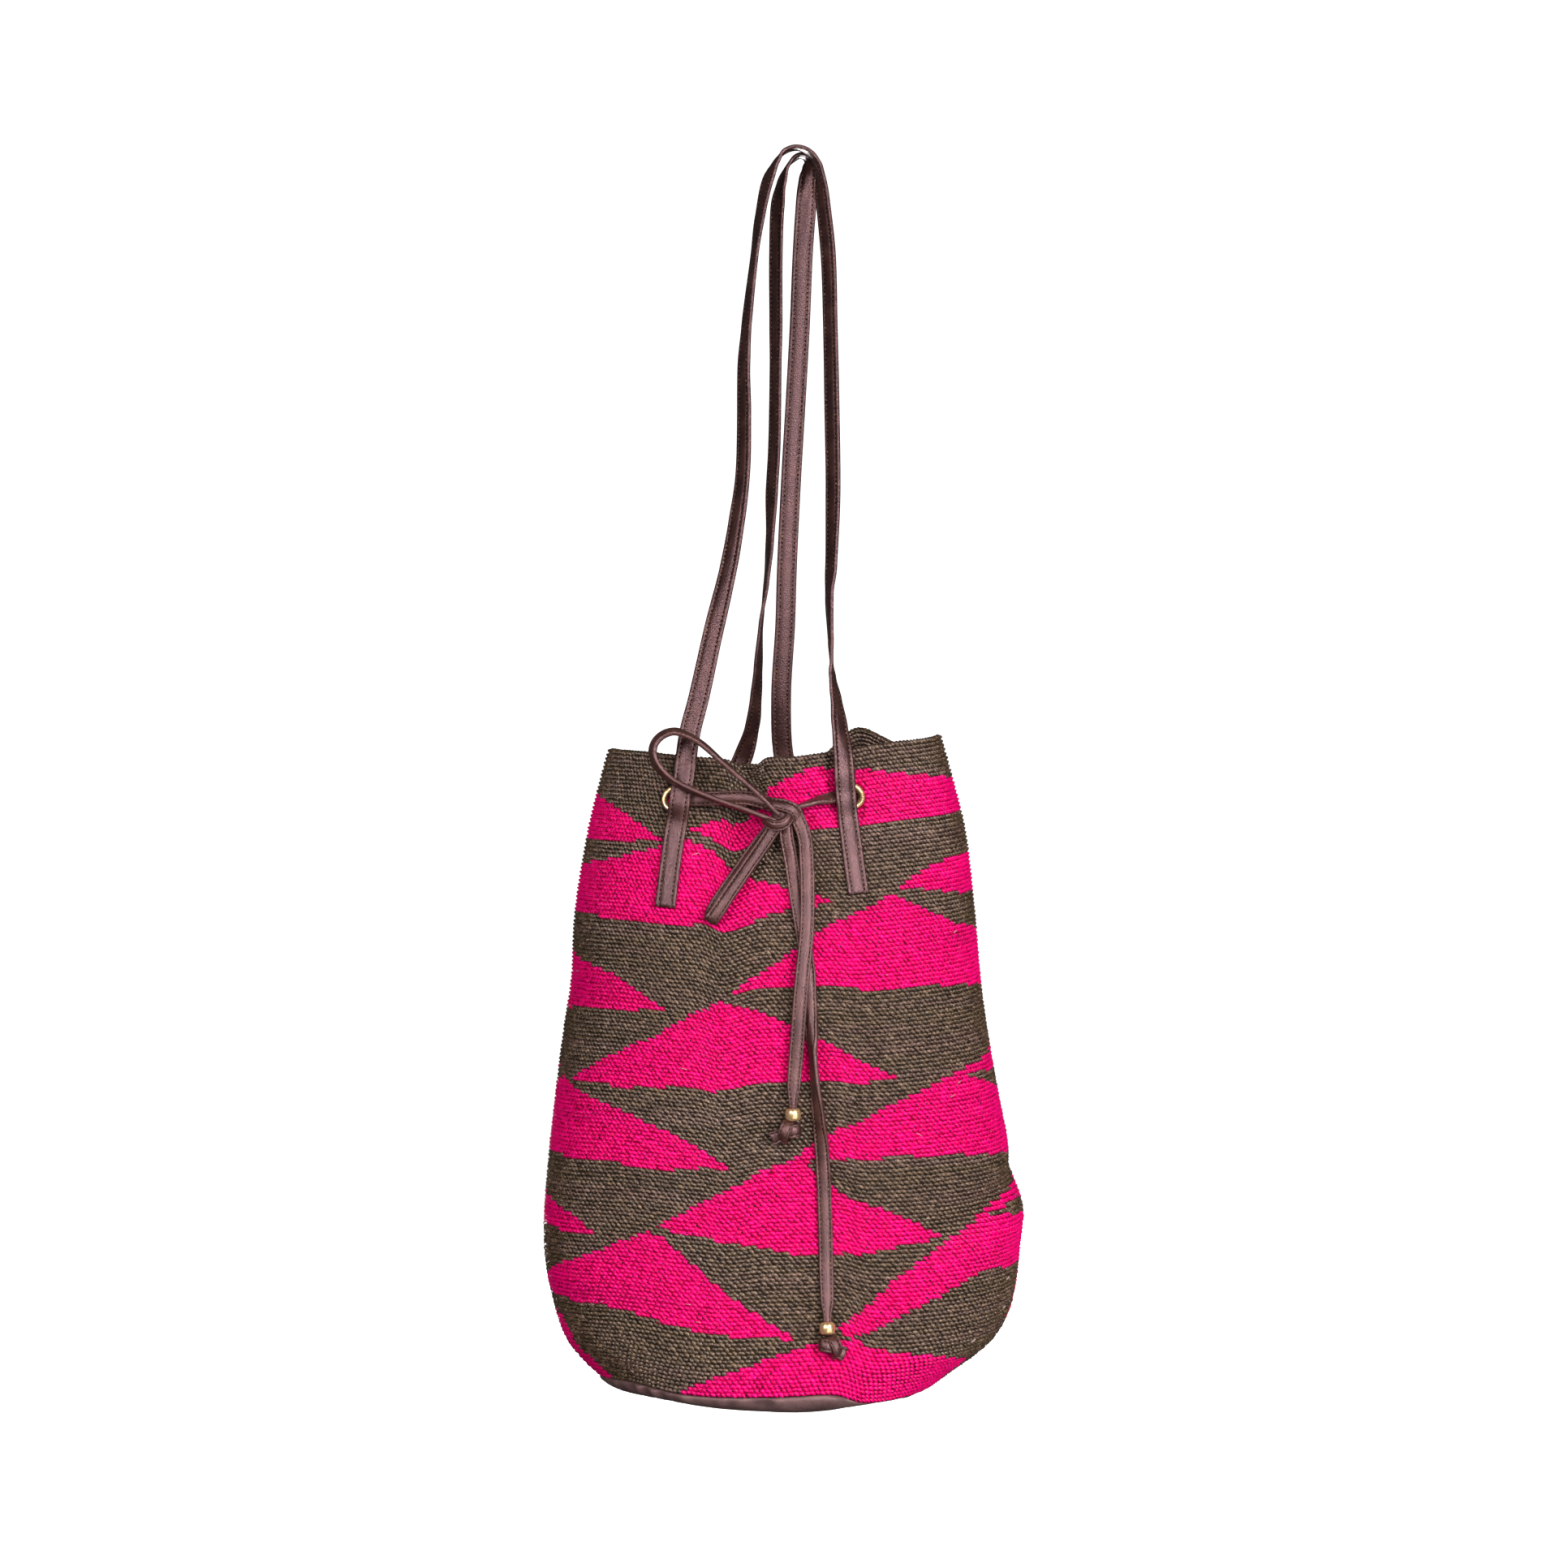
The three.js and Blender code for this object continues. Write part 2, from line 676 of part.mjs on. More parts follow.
const bowKnotPlace = onWall(FRONT, BOW_KNOT).place;
const ball = (place, half, grown = 0) => {
  const sizes = half.map((size) => size + grown);
  return new THREE.SphereGeometry(1, 14, 9).rotateX(Math.PI / 2).scale(...sizes).translate(...place.toArray());
};
const roundBowKnot = solidOf(ball(bowKnotPlace, BOW_KNOT.half, GAP));

// A piece of string that starts or ends in the bow's knot, trimmed to meet the knot.
function addString(name, stations, steps) {
  const whole = solidOf(strip(stations, STRING, STRING_OUTLINE, steps));
  addPiece(name, geometryOf(whole.subtract(roundBowKnot)), LEATHER);
}

function addDrawstring() {
  const [frontLeft, frontRight, backRight, backLeft] = eyelets;
  const stations = [
    ...BOW_LEFT_RUN.map(inAir),
    ...threaded(frontLeft, 1),
    ...threaded(backLeft, -1).reverse(),
    ...threaded(backRight, 1),
    ...threaded(frontRight, -1).reverse(),
    ...BOW_RIGHT_RUN.map(inAir),
  ];
  addString("drawstring", stations, 1);
}

function addBow() {
  addPiece("bow_knot", ball(bowKnotPlace, BOW_KNOT.half), LEATHER);
  const deep = vector(0, 1, 0);
  const upper = UPPER_LOOP.map((row) => ({ place: vector(row.x, row.y, -row.down) }));
  upper.forEach((station, i) => {
    const before = upper[Math.max(i - 1, 0)].place;
    const after = upper[Math.min(i + 1, upper.length - 1)].place;
    station.face = deep.clone().cross(after.clone().sub(before)).normalize();
  });
  addString("bow_loop_upper", upper, 1);
  const start = onWall(FRONT, LOWER_LOOP[0]).place;
  const lower = LOWER_LOOP.map((row) => {
    const { place, face } = onWall(FRONT, row);
    const onward = place.clone().sub(start).normalize();
    return { place, face: row.side === 0 ? onward : face.multiplyScalar(row.side) };
  });
  addString("bow_loop_lower", lower, 2);
}

function addTail(name, rows) {
  const stations = rows.map((row) => onWall(FRONT, row));
  addString(name, stations, 1);
}

// A drilled bead on the tail, and the knot with its cut end below the bead.
function addTailEnd(row) {
  const half = BEAD.height / 2;
  const outline = [
    [BEAD.hole, -half],
    [BEAD.shoulder, -half],
    [BEAD.radius, -half / 2.5],
    [BEAD.radius, half / 2.5],
    [BEAD.shoulder, half],
    [BEAD.hole, half],
  ];
  const bead = onWall(FRONT, row);
  const up = bead.fall.clone().negate();
  addPiece(`bead_${row.name}`, placed(lathe(outline, BEAD.sides), up, bead.place), GOLD);
  const knot = onWall(FRONT, { x: row.knotX, down: row.knotDown, lift: row.lift + 0.4 });
  const stubEnd = onWall(FRONT, { x: row.stubX, down: row.stubDown, lift: row.lift - 1 });
  const knotPlace = knot.place;
  const middle = { place: knotPlace.clone().lerp(stubEnd.place, 0.5), face: knot.face };
  const stub = [knot, middle, stubEnd];
  const lump = solidOf(ball(knotPlace, END_KNOT_HALF));
  const tied = lump.add(solidOf(strip(stub, STRING, STRING_OUTLINE, 1)));
  addPiece(`end_knot_${row.name}`, geometryOf(tied), LEATHER);
}

addBody();
addBase();
addStrap("strap_front", FRONT, FRONT_LEFT_END, FRONT_RUN, FRONT_RIGHT_END);
addStrap("strap_back", BACK, BACK_LEFT_END, BACK_RUN, BACK_RIGHT_END);
eyelets.forEach(addEyelet);
addDrawstring();
addBow();
addTail("tail_short", SHORT_TAIL);
addTail("tail_long", LONG_TAIL);
TAIL_ENDS.forEach(addTailEnd);

export default bag;
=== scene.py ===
# %% [markdown]
# # A crocheted sisal tote bag
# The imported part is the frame: it fixes the size and place of every piece.
# This lesson dresses it step by step: leather strips and their knots, gold fittings, the crocheted
# wall stitch by stitch, the leather base, and a plain studio. Lengths in the tables are millimetres
# below or beside the peg that the bag hangs on, and `MM` turns them into metres at the end.

import math

import bmesh
import bpy
import numpy as np
from mathutils import Matrix, Vector


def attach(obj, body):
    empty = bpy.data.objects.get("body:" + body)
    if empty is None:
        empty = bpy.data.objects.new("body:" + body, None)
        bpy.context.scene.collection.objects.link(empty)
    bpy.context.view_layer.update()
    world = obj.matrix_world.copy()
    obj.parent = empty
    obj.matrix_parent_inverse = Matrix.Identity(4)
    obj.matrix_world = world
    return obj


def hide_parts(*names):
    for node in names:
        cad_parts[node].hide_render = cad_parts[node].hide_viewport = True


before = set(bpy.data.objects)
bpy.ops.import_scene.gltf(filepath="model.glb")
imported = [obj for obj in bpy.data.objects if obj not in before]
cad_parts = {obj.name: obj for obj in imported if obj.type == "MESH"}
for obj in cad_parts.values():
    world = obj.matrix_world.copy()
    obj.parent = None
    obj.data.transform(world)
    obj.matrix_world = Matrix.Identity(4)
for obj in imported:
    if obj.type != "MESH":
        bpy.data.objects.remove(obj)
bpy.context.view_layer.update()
MM = 0.001
rng = np.random.default_rng(11)
print("frame:", len(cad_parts), "nodes")

# %% [markdown]
# ## Camera
# The photo is a level view with a long lens. The middle of the picture is a little left of the peg
# and half way from it to the base. The lens and sensor are in millimetres, the photo's side in pixels.

# %% Camera
EYE = (-8.8, -1747, -353.9)
LENS, SENSOR = 70, 36
PHOTO_SIDE = 1932
camera = bpy.data.objects.new("camera", bpy.data.cameras.new("camera"))
camera.data.lens = LENS
camera.data.sensor_width = SENSOR
camera.data.clip_end = 20
camera.location = [v * MM for v in EYE]
camera.rotation_euler = (math.radians(90), 0, 0)
bpy.context.scene.collection.objects.link(camera)
bpy.context.scene.camera = camera
print("camera at", tuple(round(v, 3) for v in camera.location))

# %% [markdown]
# ## The wall as a surface
# The bag hangs in soft folds, so its outside is a radius that depends on the angle and on the height.
# Angles go round from 0 at the front, through 90 on the right, to 180 at the back. A short table gives
# level sections, each an oval about its middle: a `square` of 2 is an ellipse, and more is boxier.
# Other tables give the rim, how much of the base shows under the seam, upright folds and lying creases.


# %% Tables of the wall
def columns(names, rows):
    """A short table as named columns of numbers."""
    return {name: np.array([row[i] for row in rows], float) for i, name in enumerate(names.split())}


WALL = 2.6
BASE_DOWN = 694
SECTIONS = columns("down middle side front back square", [
    (318, -13, 91, 58, 54, 2.5),
    (345, -13, 98.5, 61, 59.5, 2.5),
    (362, -13, 103, 66, 63.8, 2.5),
    (382, -13, 107.5, 73, 68.8, 2.4),
    (421, -14, 113, 82, 78, 2.3),
    (475, -14, 118, 88, 86, 2.2),
    (525, -13, 125, 89, 88, 2.2),
    (560, -11.5, 130.5, 88, 88, 2.2),
    (595, -10, 135, 89, 89, 2.2),
    (622, -10, 135, 91, 91, 2.2),
    (650, -9.5, 130, 96, 96, 2.1),
    (667, -11, 122.5, 100, 100, 2.1),
    (677, -13.1, 113.2, 102, 102, 2),
    (686, -14.9, 101.6, 103.5, 103.5, 2),
    (692, -14.6, 92.9, 104, 104, 2),
])
RIM = columns("angle down", [
    (-180, 342), (-150, 342), (-120, 338), (-90, 334), (-60, 336), (-40, 339), (-27, 341), (-19, 347),
    (-6, 340), (10, 339), (35, 335), (60, 330), (90, 326), (118, 331), (139, 321), (156, 338),
])
REVEAL = columns("angle height", [
    (-150, 6), (-115, 5), (-90, 5), (-70, 8), (-50, 11), (-28, 8.5), (0, 9.5), (19, 9.5), (29, 3.5),
    (45, 2), (70, 2.5), (90, 4), (120, 6),
])
FOLDS = columns("angle lean spread push full gone", [
    (-19, 0, 7.5, -14, 345, 445),
    (12, 2, 9, 6, 345, 430),
    (-46, 0, 8, 3.5, 345, 420),
    (52, 0, 10, -4, 340, 420),
    (-171, 0, 8.5, -11, 345, 450),
    (139, 0, 8, 5, 340, 420),
    (-125, 0, 11, 4, 340, 430),
])
CREASES = columns("angle down slope reach spread push", [
    (69, 588, -0.7, 17, 8, -5.5),
    (69, 606, -0.7, 18, 10, 3.5),
    (-24, 428, 0, 7, 15, -3),
    (-75, 470, 0.5, 14, 14, -2),
    (150, 560, 0.6, 20, 12, -3),
    (-140, 610, -0.5, 20, 12, -3),
])


# %% Curves and angles
def unit(v):
    return v / np.linalg.norm(v, axis=-1, keepdims=True)


def wrapped(angle):
    """The same angle between -180 and 180."""
    return angle - 360 * np.floor((angle + 180) / 360)


def smoothstep(x, low, high):
    t = np.clip((x - low) / (high - low), 0, 1)
    return t * t * (3 - 2 * t)


def ring_table(rows):
    """A table that goes once round, with its ends repeated so that a curve through it closes."""
    turn = {"angle": 360}
    return {k: np.concatenate([v[-2:] - turn.get(k, 0), v, v[:2] + turn.get(k, 0)]) for k, v in rows.items()}


RIM_RING, REVEAL_RING = ring_table(RIM), ring_table(REVEAL)


def through(rows, key, name, at):
    """A smooth curve through one column of a table, ordered by another."""
    x, y = rows[key], rows[name]
    count = np.arange(len(x))
    before, after = np.maximum(count - 1, 0), np.minimum(count + 1, len(x) - 1)
    slope = (y[after] - y[before]) / (x[after] - x[before])
    i = np.clip(np.searchsorted(x, at) - 1, 0, len(x) - 2)
    span = x[i + 1] - x[i]
    t = np.clip((at - x[i]) / span, 0, 1)
    near = (1 + 2 * t) * (1 - t) ** 2 * y[i] + t * (1 - t) ** 2 * span * slope[i]
    far = t * t * (3 - 2 * t) * y[i + 1] + t * t * (t - 1) * span * slope[i + 1]
    return near + far


# %% Points on the wall
def rim_down(angle):
    return through(RIM_RING, "angle", "down", wrapped(angle))


def seam_down(angle):
    return BASE_DOWN - through(REVEAL_RING, "angle", "height", wrapped(angle))


def wall_radius(angle, down):
    """How far the wall is from its middle line: the oval, then the folds and creases."""
    turn = np.radians(angle)
    side = through(SECTIONS, "down", "side", down)
    front, back = (through(SECTIONS, "down", name, down) for name in ("front", "back"))
    depth = np.where(np.cos(turn) > 0, front, back)
    square = through(SECTIONS, "down", "square", down)
    oval = np.abs(np.sin(turn) / side) ** square + np.abs(np.cos(turn) / depth) ** square
    radius = oval ** (-1 / square)
    for fold, lean, spread, push, full, gone in zip(*FOLDS.values()):
        off = wrapped(angle - fold - lean * (down - full) / 100) / spread
        radius = radius + push * (1 - smoothstep(down, full, gone)) * np.exp(-off * off / 2)
    for place, at, slope, reach, spread, push in zip(*CREASES.values()):
        beside = wrapped(angle - place)
        above = (down - at - slope * beside) / spread
        radius = radius + push * np.exp(-above * above / 2 - (beside / reach) ** 2 / 2)
    return radius


def wall_point(angle, share):
    """Points on the outside of the wall: share is 0 at the rim and 1 at the seam."""
    angle, share = np.broadcast_arrays(np.asarray(angle, float), np.asarray(share, float))
    down = rim_down(angle) + share * (seam_down(angle) - rim_down(angle))
    turn, radius = np.radians(angle), wall_radius(angle, down)
    middle = through(SECTIONS, "down", "middle", down)
    return np.stack([middle + radius * np.sin(turn), -radius * np.cos(turn), -down], -1)


def wall_frame(angle, share, aside=1, below=0.005):
    """The ways round and down the wall, and the way out of it, from points a little to each side."""
    around = unit(wall_point(angle + aside, share) - wall_point(angle - aside, share))
    fall = unit(wall_point(angle, share + below) - wall_point(angle, share - below))
    return around, fall, unit(np.cross(fall, around))


def off_wall(angle, share, lift):
    return wall_point(angle, share) + wall_frame(angle, share)[2] * lift


print("rim at the front", wall_point(0, 0).round(1), "seam", wall_point(0, 1).round(1))

# %% Places beside the peg
FRONT, BACK, HALF_SIDE = 0, 180, 75


def find_on_wall(side, x, down):
    """The angle and share of the place on the front or back that has a given x and height."""
    low, high = side - HALF_SIDE, side + HALF_SIDE
    for _ in range(40):
        angle = (low + high) / 2
        share = (down - rim_down(angle)) / (seam_down(angle) - rim_down(angle))
        if (wall_point(angle, share)[0] < x) == (side == FRONT):
            low = angle
        else:
            high = angle
    return angle, share


def on_wall(side, x, down, lift, roll=0.0):
    """A place off the wall with that x and height, the way its outer side looks, and the way down."""
    at_x, at_down = x, down
    for _ in range(5):
        angle, share = find_on_wall(side, at_x, at_down)
        place = off_wall(angle, share, lift)
        at_x += x - place[0]
        at_down += down + place[2]
    around, fall, out = wall_frame(angle, share)
    roll = math.radians(roll)
    return place, out * math.cos(roll) + around * math.sin(roll), fall


def in_air(x, y, down, face, tilt=0.0):
    """A place in the air, and the way its outer side looks: round the compass and tilted up."""
    face, tilt = math.radians(face), math.radians(tilt)
    level = math.cos(tilt)
    outward = np.array([math.sin(face) * level, -math.cos(face) * level, math.sin(tilt)])
    return np.array([x, y, -down]), outward


print("front of the wall at the eyelets:", on_wall(FRONT, 0, 362, 0)[0].round(1))

# %% [markdown]
# ## Meshes from arrays
# Thousands of small stitches are quickest as one mesh from arrays. Every piece rides on the root and
# is given its materials. A piece that takes the place of a CAD node names it, and that node is hidden.


# %% Mesh tools
def make_piece(name, points, faces, materials, nodes=(), material_index=None, uv=None):
    """A smooth piece from points in millimetres and arrays of faces with three or four corners."""
    mesh = bpy.data.meshes.new(name)
    corners = np.concatenate([f.ravel() for f in faces]).astype(np.int32)
    sizes = np.concatenate([np.full(len(f), f.shape[1]) for f in faces])
    starts = (np.cumsum(sizes) - sizes).astype(np.int32)
    mesh.vertices.add(len(points))
    mesh.vertices.foreach_set("co", (np.asarray(points) * MM).astype(np.float32).ravel())
    mesh.loops.add(len(corners))
    mesh.loops.foreach_set("vertex_index", corners)
    mesh.polygons.add(len(starts))
    mesh.polygons.foreach_set("loop_start", starts)
    mesh.polygons.foreach_set("use_smooth", np.ones(len(starts), bool))
    if material_index is not None:
        mesh.polygons.foreach_set("material_index", np.asarray(material_index, np.int32))
    if uv is not None:
        layer = mesh.uv_layers.new(name="UVMap")
        layer.uv.foreach_set("vector", np.asarray(uv, np.float32)[corners].ravel())
    mesh.update(calc_edges=True)
    mesh.validate()
    piece = bpy.data.objects.new(name, mesh)
    bpy.context.scene.collection.objects.link(piece)
    for material in materials:
        mesh.materials.append(material)
    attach(piece, "root")
    if nodes:
        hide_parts(*nodes)
    print(f"{name}: {sum((f.shape[1] - 2) * len(f) for f in faces)} triangles")
    return piece


def grid_faces(rows, count, closed=True, start=0):
    """Quads between rings of points, facing out when each ring goes round the outside and rings go down."""
    i, j = np.meshgrid(np.arange(rows - 1), np.arange(count if closed else count - 1), indexing="ij")
    here, below, after = i * count, (i + 1) * count, (j + 1) % count
    return start + np.stack([here + j, below + j, below + after, here + after], -1).reshape(-1, 4)


def fan_faces(ring, pole, flip=False):
    """Triangles that close a ring of points with a pole."""
    after = np.roll(ring, -1)
    faces = np.stack([np.full(len(ring), pole), ring, after], -1)
    return faces[:, ::-1] if flip else faces


def join(*parts):
    """Several (points, faces, uv) parts as one, with the part's number for each face."""
    points, faces, uv, index, start = [], [], [], [], 0
    for number, (part_points, part_faces, part_uv) in enumerate(parts):
        points.append(part_points)
        uv.append(part_uv)
        for f in part_faces:
            faces.append(f + start)
            index.append(np.full(len(f), number))
        start += len(part_points)
    return np.concatenate(points), faces, np.concatenate(uv), np.concatenate(index)


# %% Many small beads
def bean_template(rows, sunk=0.25, tip_sunk=0.3, tip_reach=0.8):
    """A low-poly half round bead along a bent line: rows of (x, y, half width, height)."""
    line = np.array(rows, float)
    ahead = unit(np.gradient(line[:, :2], axis=0))
    beside = np.stack([-ahead[:, 1], ahead[:, 0]], -1) * line[:, 2:3]
    low = np.full(len(line), -sunk)
    rings = np.stack([
        np.column_stack([line[:, :2] + beside, low]),
        np.column_stack([line[:, :2], line[:, 3]]),
        np.column_stack([line[:, :2] - beside, low]),
    ], 1)
    tips = []
    for end, way in ((0, -1), (-1, 1)):
        tip = line[end, :2] + ahead[end] * way * line[end, 2] * tip_reach
        tips.append(np.append(tip, -tip_sunk))
    points = np.vstack([rings.reshape(-1, 3), tips])
    last = 3 * (len(line) - 1)
    first_tip, end_tip = len(points) - 2, len(points) - 1
    faces = [(first_tip, 1, 0), (first_tip, 2, 1), (end_tip, last, last + 1), (end_tip, last + 1, last + 2)]
    for k in range(len(line) - 1):
        a = 3 * k
        for b in (a, a + 1):
            faces += [(b, b + 1, b + 4), (b, b + 4, b + 3)]
    along = np.append(np.repeat(np.linspace(0, 1, len(line)), 3), [0, 1])
    across = np.append(np.tile([0.0, 0.5, 1.0], len(line)), [0.5, 0.5])
    return points, np.array(faces), np.column_stack([along, across])


def beans(template, places, along, up, out, size, spread=50):
    """One bead at each place, scaled along, up and out by size, each on its own patch of the texture."""
    shape, faces, uv = template
    points = places[:, None, :] + (
        shape[None, :, 0:1] * along[:, None, :] * size[:, None, 0:1]
        + shape[None, :, 1:2] * up[:, None, :] * size[:, None, 1:2]
        + shape[None, :, 2:3] * out[:, None, :] * size[:, None, 2:3]
    )
    every = faces[None] + len(shape) * np.arange(len(places))[:, None, None]
    shifts = rng.random((len(places), 1, 2)) * spread
    return points.reshape(-1, 3), [every.reshape(-1, 3)], (uv[None] + shifts).reshape(-1, 2)


# %% [markdown]
# ## Materials
# Everything is procedural. The leather has a pebbled grain that catches the light, the sisal has
# fibres along each stitch, and the fittings are a pale gold plate with a fine grain. What several
# materials share is a node group: the leather's grain, and the sisal's fibres and dye.


# %% Node tools
def new_material(name):
    material = bpy.data.materials.new(name)
    material.use_nodes = True
    nodes = material.node_tree.nodes
    return material, nodes, material.node_tree.links, nodes["Principled BSDF"]


def set_inputs(node, **values):
    """Values for a node's inputs, whose names are written with _ for a space."""
    for label, value in values.items():
        node.inputs[label.replace("_", " ")].default_value = value


def add_node(nodes, kind, **values):
    node = nodes.new("ShaderNode" + kind)
    set_inputs(node, **values)
    return node


def add_math(nodes, operation, value):
    node = nodes.new("ShaderNodeMath")
    node.operation = operation
    node.inputs[1].default_value = value
    return node


def new_group(name, inputs, outputs):
    group = bpy.data.node_groups.new(name, "ShaderNodeTree")
    for label, default in inputs:
        socket = group.interface.new_socket(label, in_out="INPUT", socket_type="NodeSocketFloat")
        socket.default_value = default
    for label, kind in outputs:
        group.interface.new_socket(label, in_out="OUTPUT", socket_type="NodeSocket" + kind)
    return group, group.nodes.new("NodeGroupInput"), group.nodes.new("NodeGroupOutput")


def use_group(nodes, group, **values):
    node = nodes.new("ShaderNodeGroup")
    node.node_tree = group
    set_inputs(node, **values)
    return node


def ramp(nodes, stops):
    node = nodes.new("ShaderNodeValToRGB")
    elements = node.color_ramp.elements
    while len(elements) < len(stops):
        elements.new(0.5)
    for element, (position, colour) in zip(elements, stops):
        element.position = position
        element.color = (*colour, 1)
    return node


# %% Leather
BUMP_DEPTH = 0.0004
PLUM_SHEEN = (1, 0.58, 0.62, 1)


def leather_group():
    """Pebbled grain in small cells, with creases across the strip and soft patches of wear."""
    group, given, result = new_group(
        "leather_grain", [("Cells", 1000.0), ("Depth", 0.5)],
        [("Wear", "Float"), ("Grain", "Float"), ("Normal", "Vector")])
    nodes, links = group.nodes, group.links
    place = nodes.new("ShaderNodeTexCoord")
    cells = nodes.new("ShaderNodeTexVoronoi")
    cells.feature = "SMOOTH_F1"
    set_inputs(cells, Smoothness=0.3, Randomness=0.95)
    stretch = add_node(nodes, "Mapping", Scale=(700, 260, 1))
    creases = add_node(nodes, "TexNoise", Scale=1, Detail=3)
    wear = add_node(nodes, "TexNoise", Scale=90, Detail=4)
    mixed = add_math(nodes, "MULTIPLY_ADD", 0.7)
    bump = add_node(nodes, "Bump", Distance=BUMP_DEPTH)
    for texture in (cells, wear):
        links.new(place.outputs["Object"], texture.inputs["Vector"])
    links.new(place.outputs["UV"], stretch.inputs["Vector"])
    links.new(stretch.outputs["Vector"], creases.inputs["Vector"])
    links.new(given.outputs["Cells"], cells.inputs["Scale"])
    links.new(given.outputs["Depth"], bump.inputs["Strength"])
    links.new(creases.outputs["Fac"], mixed.inputs[0])
    links.new(cells.outputs["Distance"], mixed.inputs[2])
    links.new(mixed.outputs[0], bump.inputs["Height"])
    links.new(wear.outputs["Fac"], result.inputs["Wear"])
    links.new(mixed.outputs[0], result.inputs["Grain"])
    links.new(bump.outputs["Normal"], result.inputs["Normal"])
    return group


LEATHER_GRAIN = leather_group()


def leather(name, dark, middle, light, roughness, cells=1500.0, depth=0.4):
    """Leather that is dark where it is new and light where it is worn, rougher between its pebbles."""
    material, nodes, links, shader = new_material(name)
    grain = use_group(nodes, LEATHER_GRAIN, Cells=cells, Depth=depth)
    worn = ramp(nodes, [(0.3, dark), (0.5, middle), (0.72, light)])
    rough = add_node(
        nodes, "MapRange", From_Min=0.1, From_Max=0.9, To_Min=roughness - 0.1, To_Max=roughness + 0.12)
    links.new(grain.outputs["Wear"], worn.inputs["Fac"])
    links.new(worn.outputs["Color"], shader.inputs["Base Color"])
    links.new(grain.outputs["Grain"], rough.inputs["Value"])
    links.new(rough.outputs["Result"], shader.inputs["Roughness"])
    links.new(grain.outputs["Normal"], shader.inputs["Normal"])
    set_inputs(shader, Specular_IOR_Level=0.9, Specular_Tint=PLUM_SHEEN)
    return material


STRAP_LEATHER = leather(
    "strap_leather", (0.009, 0.003, 0.0025), (0.021, 0.0075, 0.006), (0.044, 0.018, 0.014), 0.27)
# The strings are the straps' leather painted lighter: painted light for the more light that falls on them.
STRING_LEATHER_PAINTED_LIGHT = leather(
    "string_leather", (0.016, 0.006, 0.0045), (0.035, 0.0135, 0.0105), (0.064, 0.027, 0.021), 0.28)
BASE_LEATHER = leather(
    "base_leather", (0.045, 0.023, 0.022), (0.088, 0.049, 0.047), (0.13, 0.078, 0.073), 0.46)


def thread_material():
    """Waxed brown thread with a lighter twist."""
    material, nodes, links, shader = new_material("thread")
    where = nodes.new("ShaderNodeTexCoord")
    noise = add_node(nodes, "TexNoise", Scale=320)
    tone = ramp(nodes, [
        (0.35, (0.045, 0.024, 0.016)), (0.55, (0.10, 0.058, 0.034)), (0.74, (0.26, 0.155, 0.085)),
    ])
    links.new(where.outputs["Object"], noise.inputs["Vector"])
    links.new(noise.outputs["Fac"], tone.inputs["Fac"])
    links.new(tone.outputs["Color"], shader.inputs["Base Color"])
    set_inputs(shader, Roughness=0.8, Specular_IOR_Level=0.1)
    return material


def hole_shade_material():
    """Painted shade: near-black marks that stand in for the shade inside the needle holes."""
    material, _, _, shader = new_material("needle_hole_shade")
    set_inputs(shader, Base_Color=(0.004, 0.0015, 0.0015, 1), Roughness=0.9, Specular_IOR_Level=0.05)
    return material


THREAD, HOLE_SHADE = thread_material(), hole_shade_material()


# %% Sisal
def fibre_group():
    """Fibres along each stitch, a tone for each stitch, and a slow drift in the dye from row to row."""
    group, given, result = new_group(
        "sisal_fibre", [("Depth", 0.5)], [("Fibre", "Float"), ("Dye", "Float"), ("Normal", "Vector")])
    nodes, links = group.nodes, group.links
    where = nodes.new("ShaderNodeTexCoord")
    stitch = add_node(nodes, "TexNoise", Scale=0.37)
    tone = add_math(nodes, "MULTIPLY_ADD", 0.5)
    shift = add_math(nodes, "SUBTRACT", 0.25)
    stretch = add_node(nodes, "Mapping", Scale=(1.2, 5, 1))
    fibre = add_node(nodes, "TexNoise", Scale=1.6, Detail=3)
    squash = add_node(nodes, "Mapping", Scale=(7, 7, 150))
    dye = add_node(nodes, "TexNoise", Scale=1, Detail=2)
    bump = add_node(nodes, "Bump", Distance=BUMP_DEPTH)
    links.new(where.outputs["UV"], stretch.inputs["Vector"])
    links.new(stretch.outputs["Vector"], fibre.inputs["Vector"])
    links.new(where.outputs["Object"], squash.inputs["Vector"])
    links.new(squash.outputs["Vector"], dye.inputs["Vector"])
    links.new(given.outputs["Depth"], bump.inputs["Strength"])
    links.new(fibre.outputs["Fac"], bump.inputs["Height"])
    links.new(where.outputs["UV"], stitch.inputs["Vector"])
    links.new(stitch.outputs["Fac"], tone.inputs[0])
    links.new(fibre.outputs["Fac"], tone.inputs[2])
    links.new(tone.outputs[0], shift.inputs[0])
    links.new(shift.outputs[0], result.inputs["Fibre"])
    links.new(dye.outputs["Fac"], result.inputs["Dye"])
    links.new(bump.outputs["Normal"], result.inputs["Normal"])
    return group


SISAL_FIBRE = fibre_group()
ROSE_SHEEN = (1, 0.84, 0.84, 1)


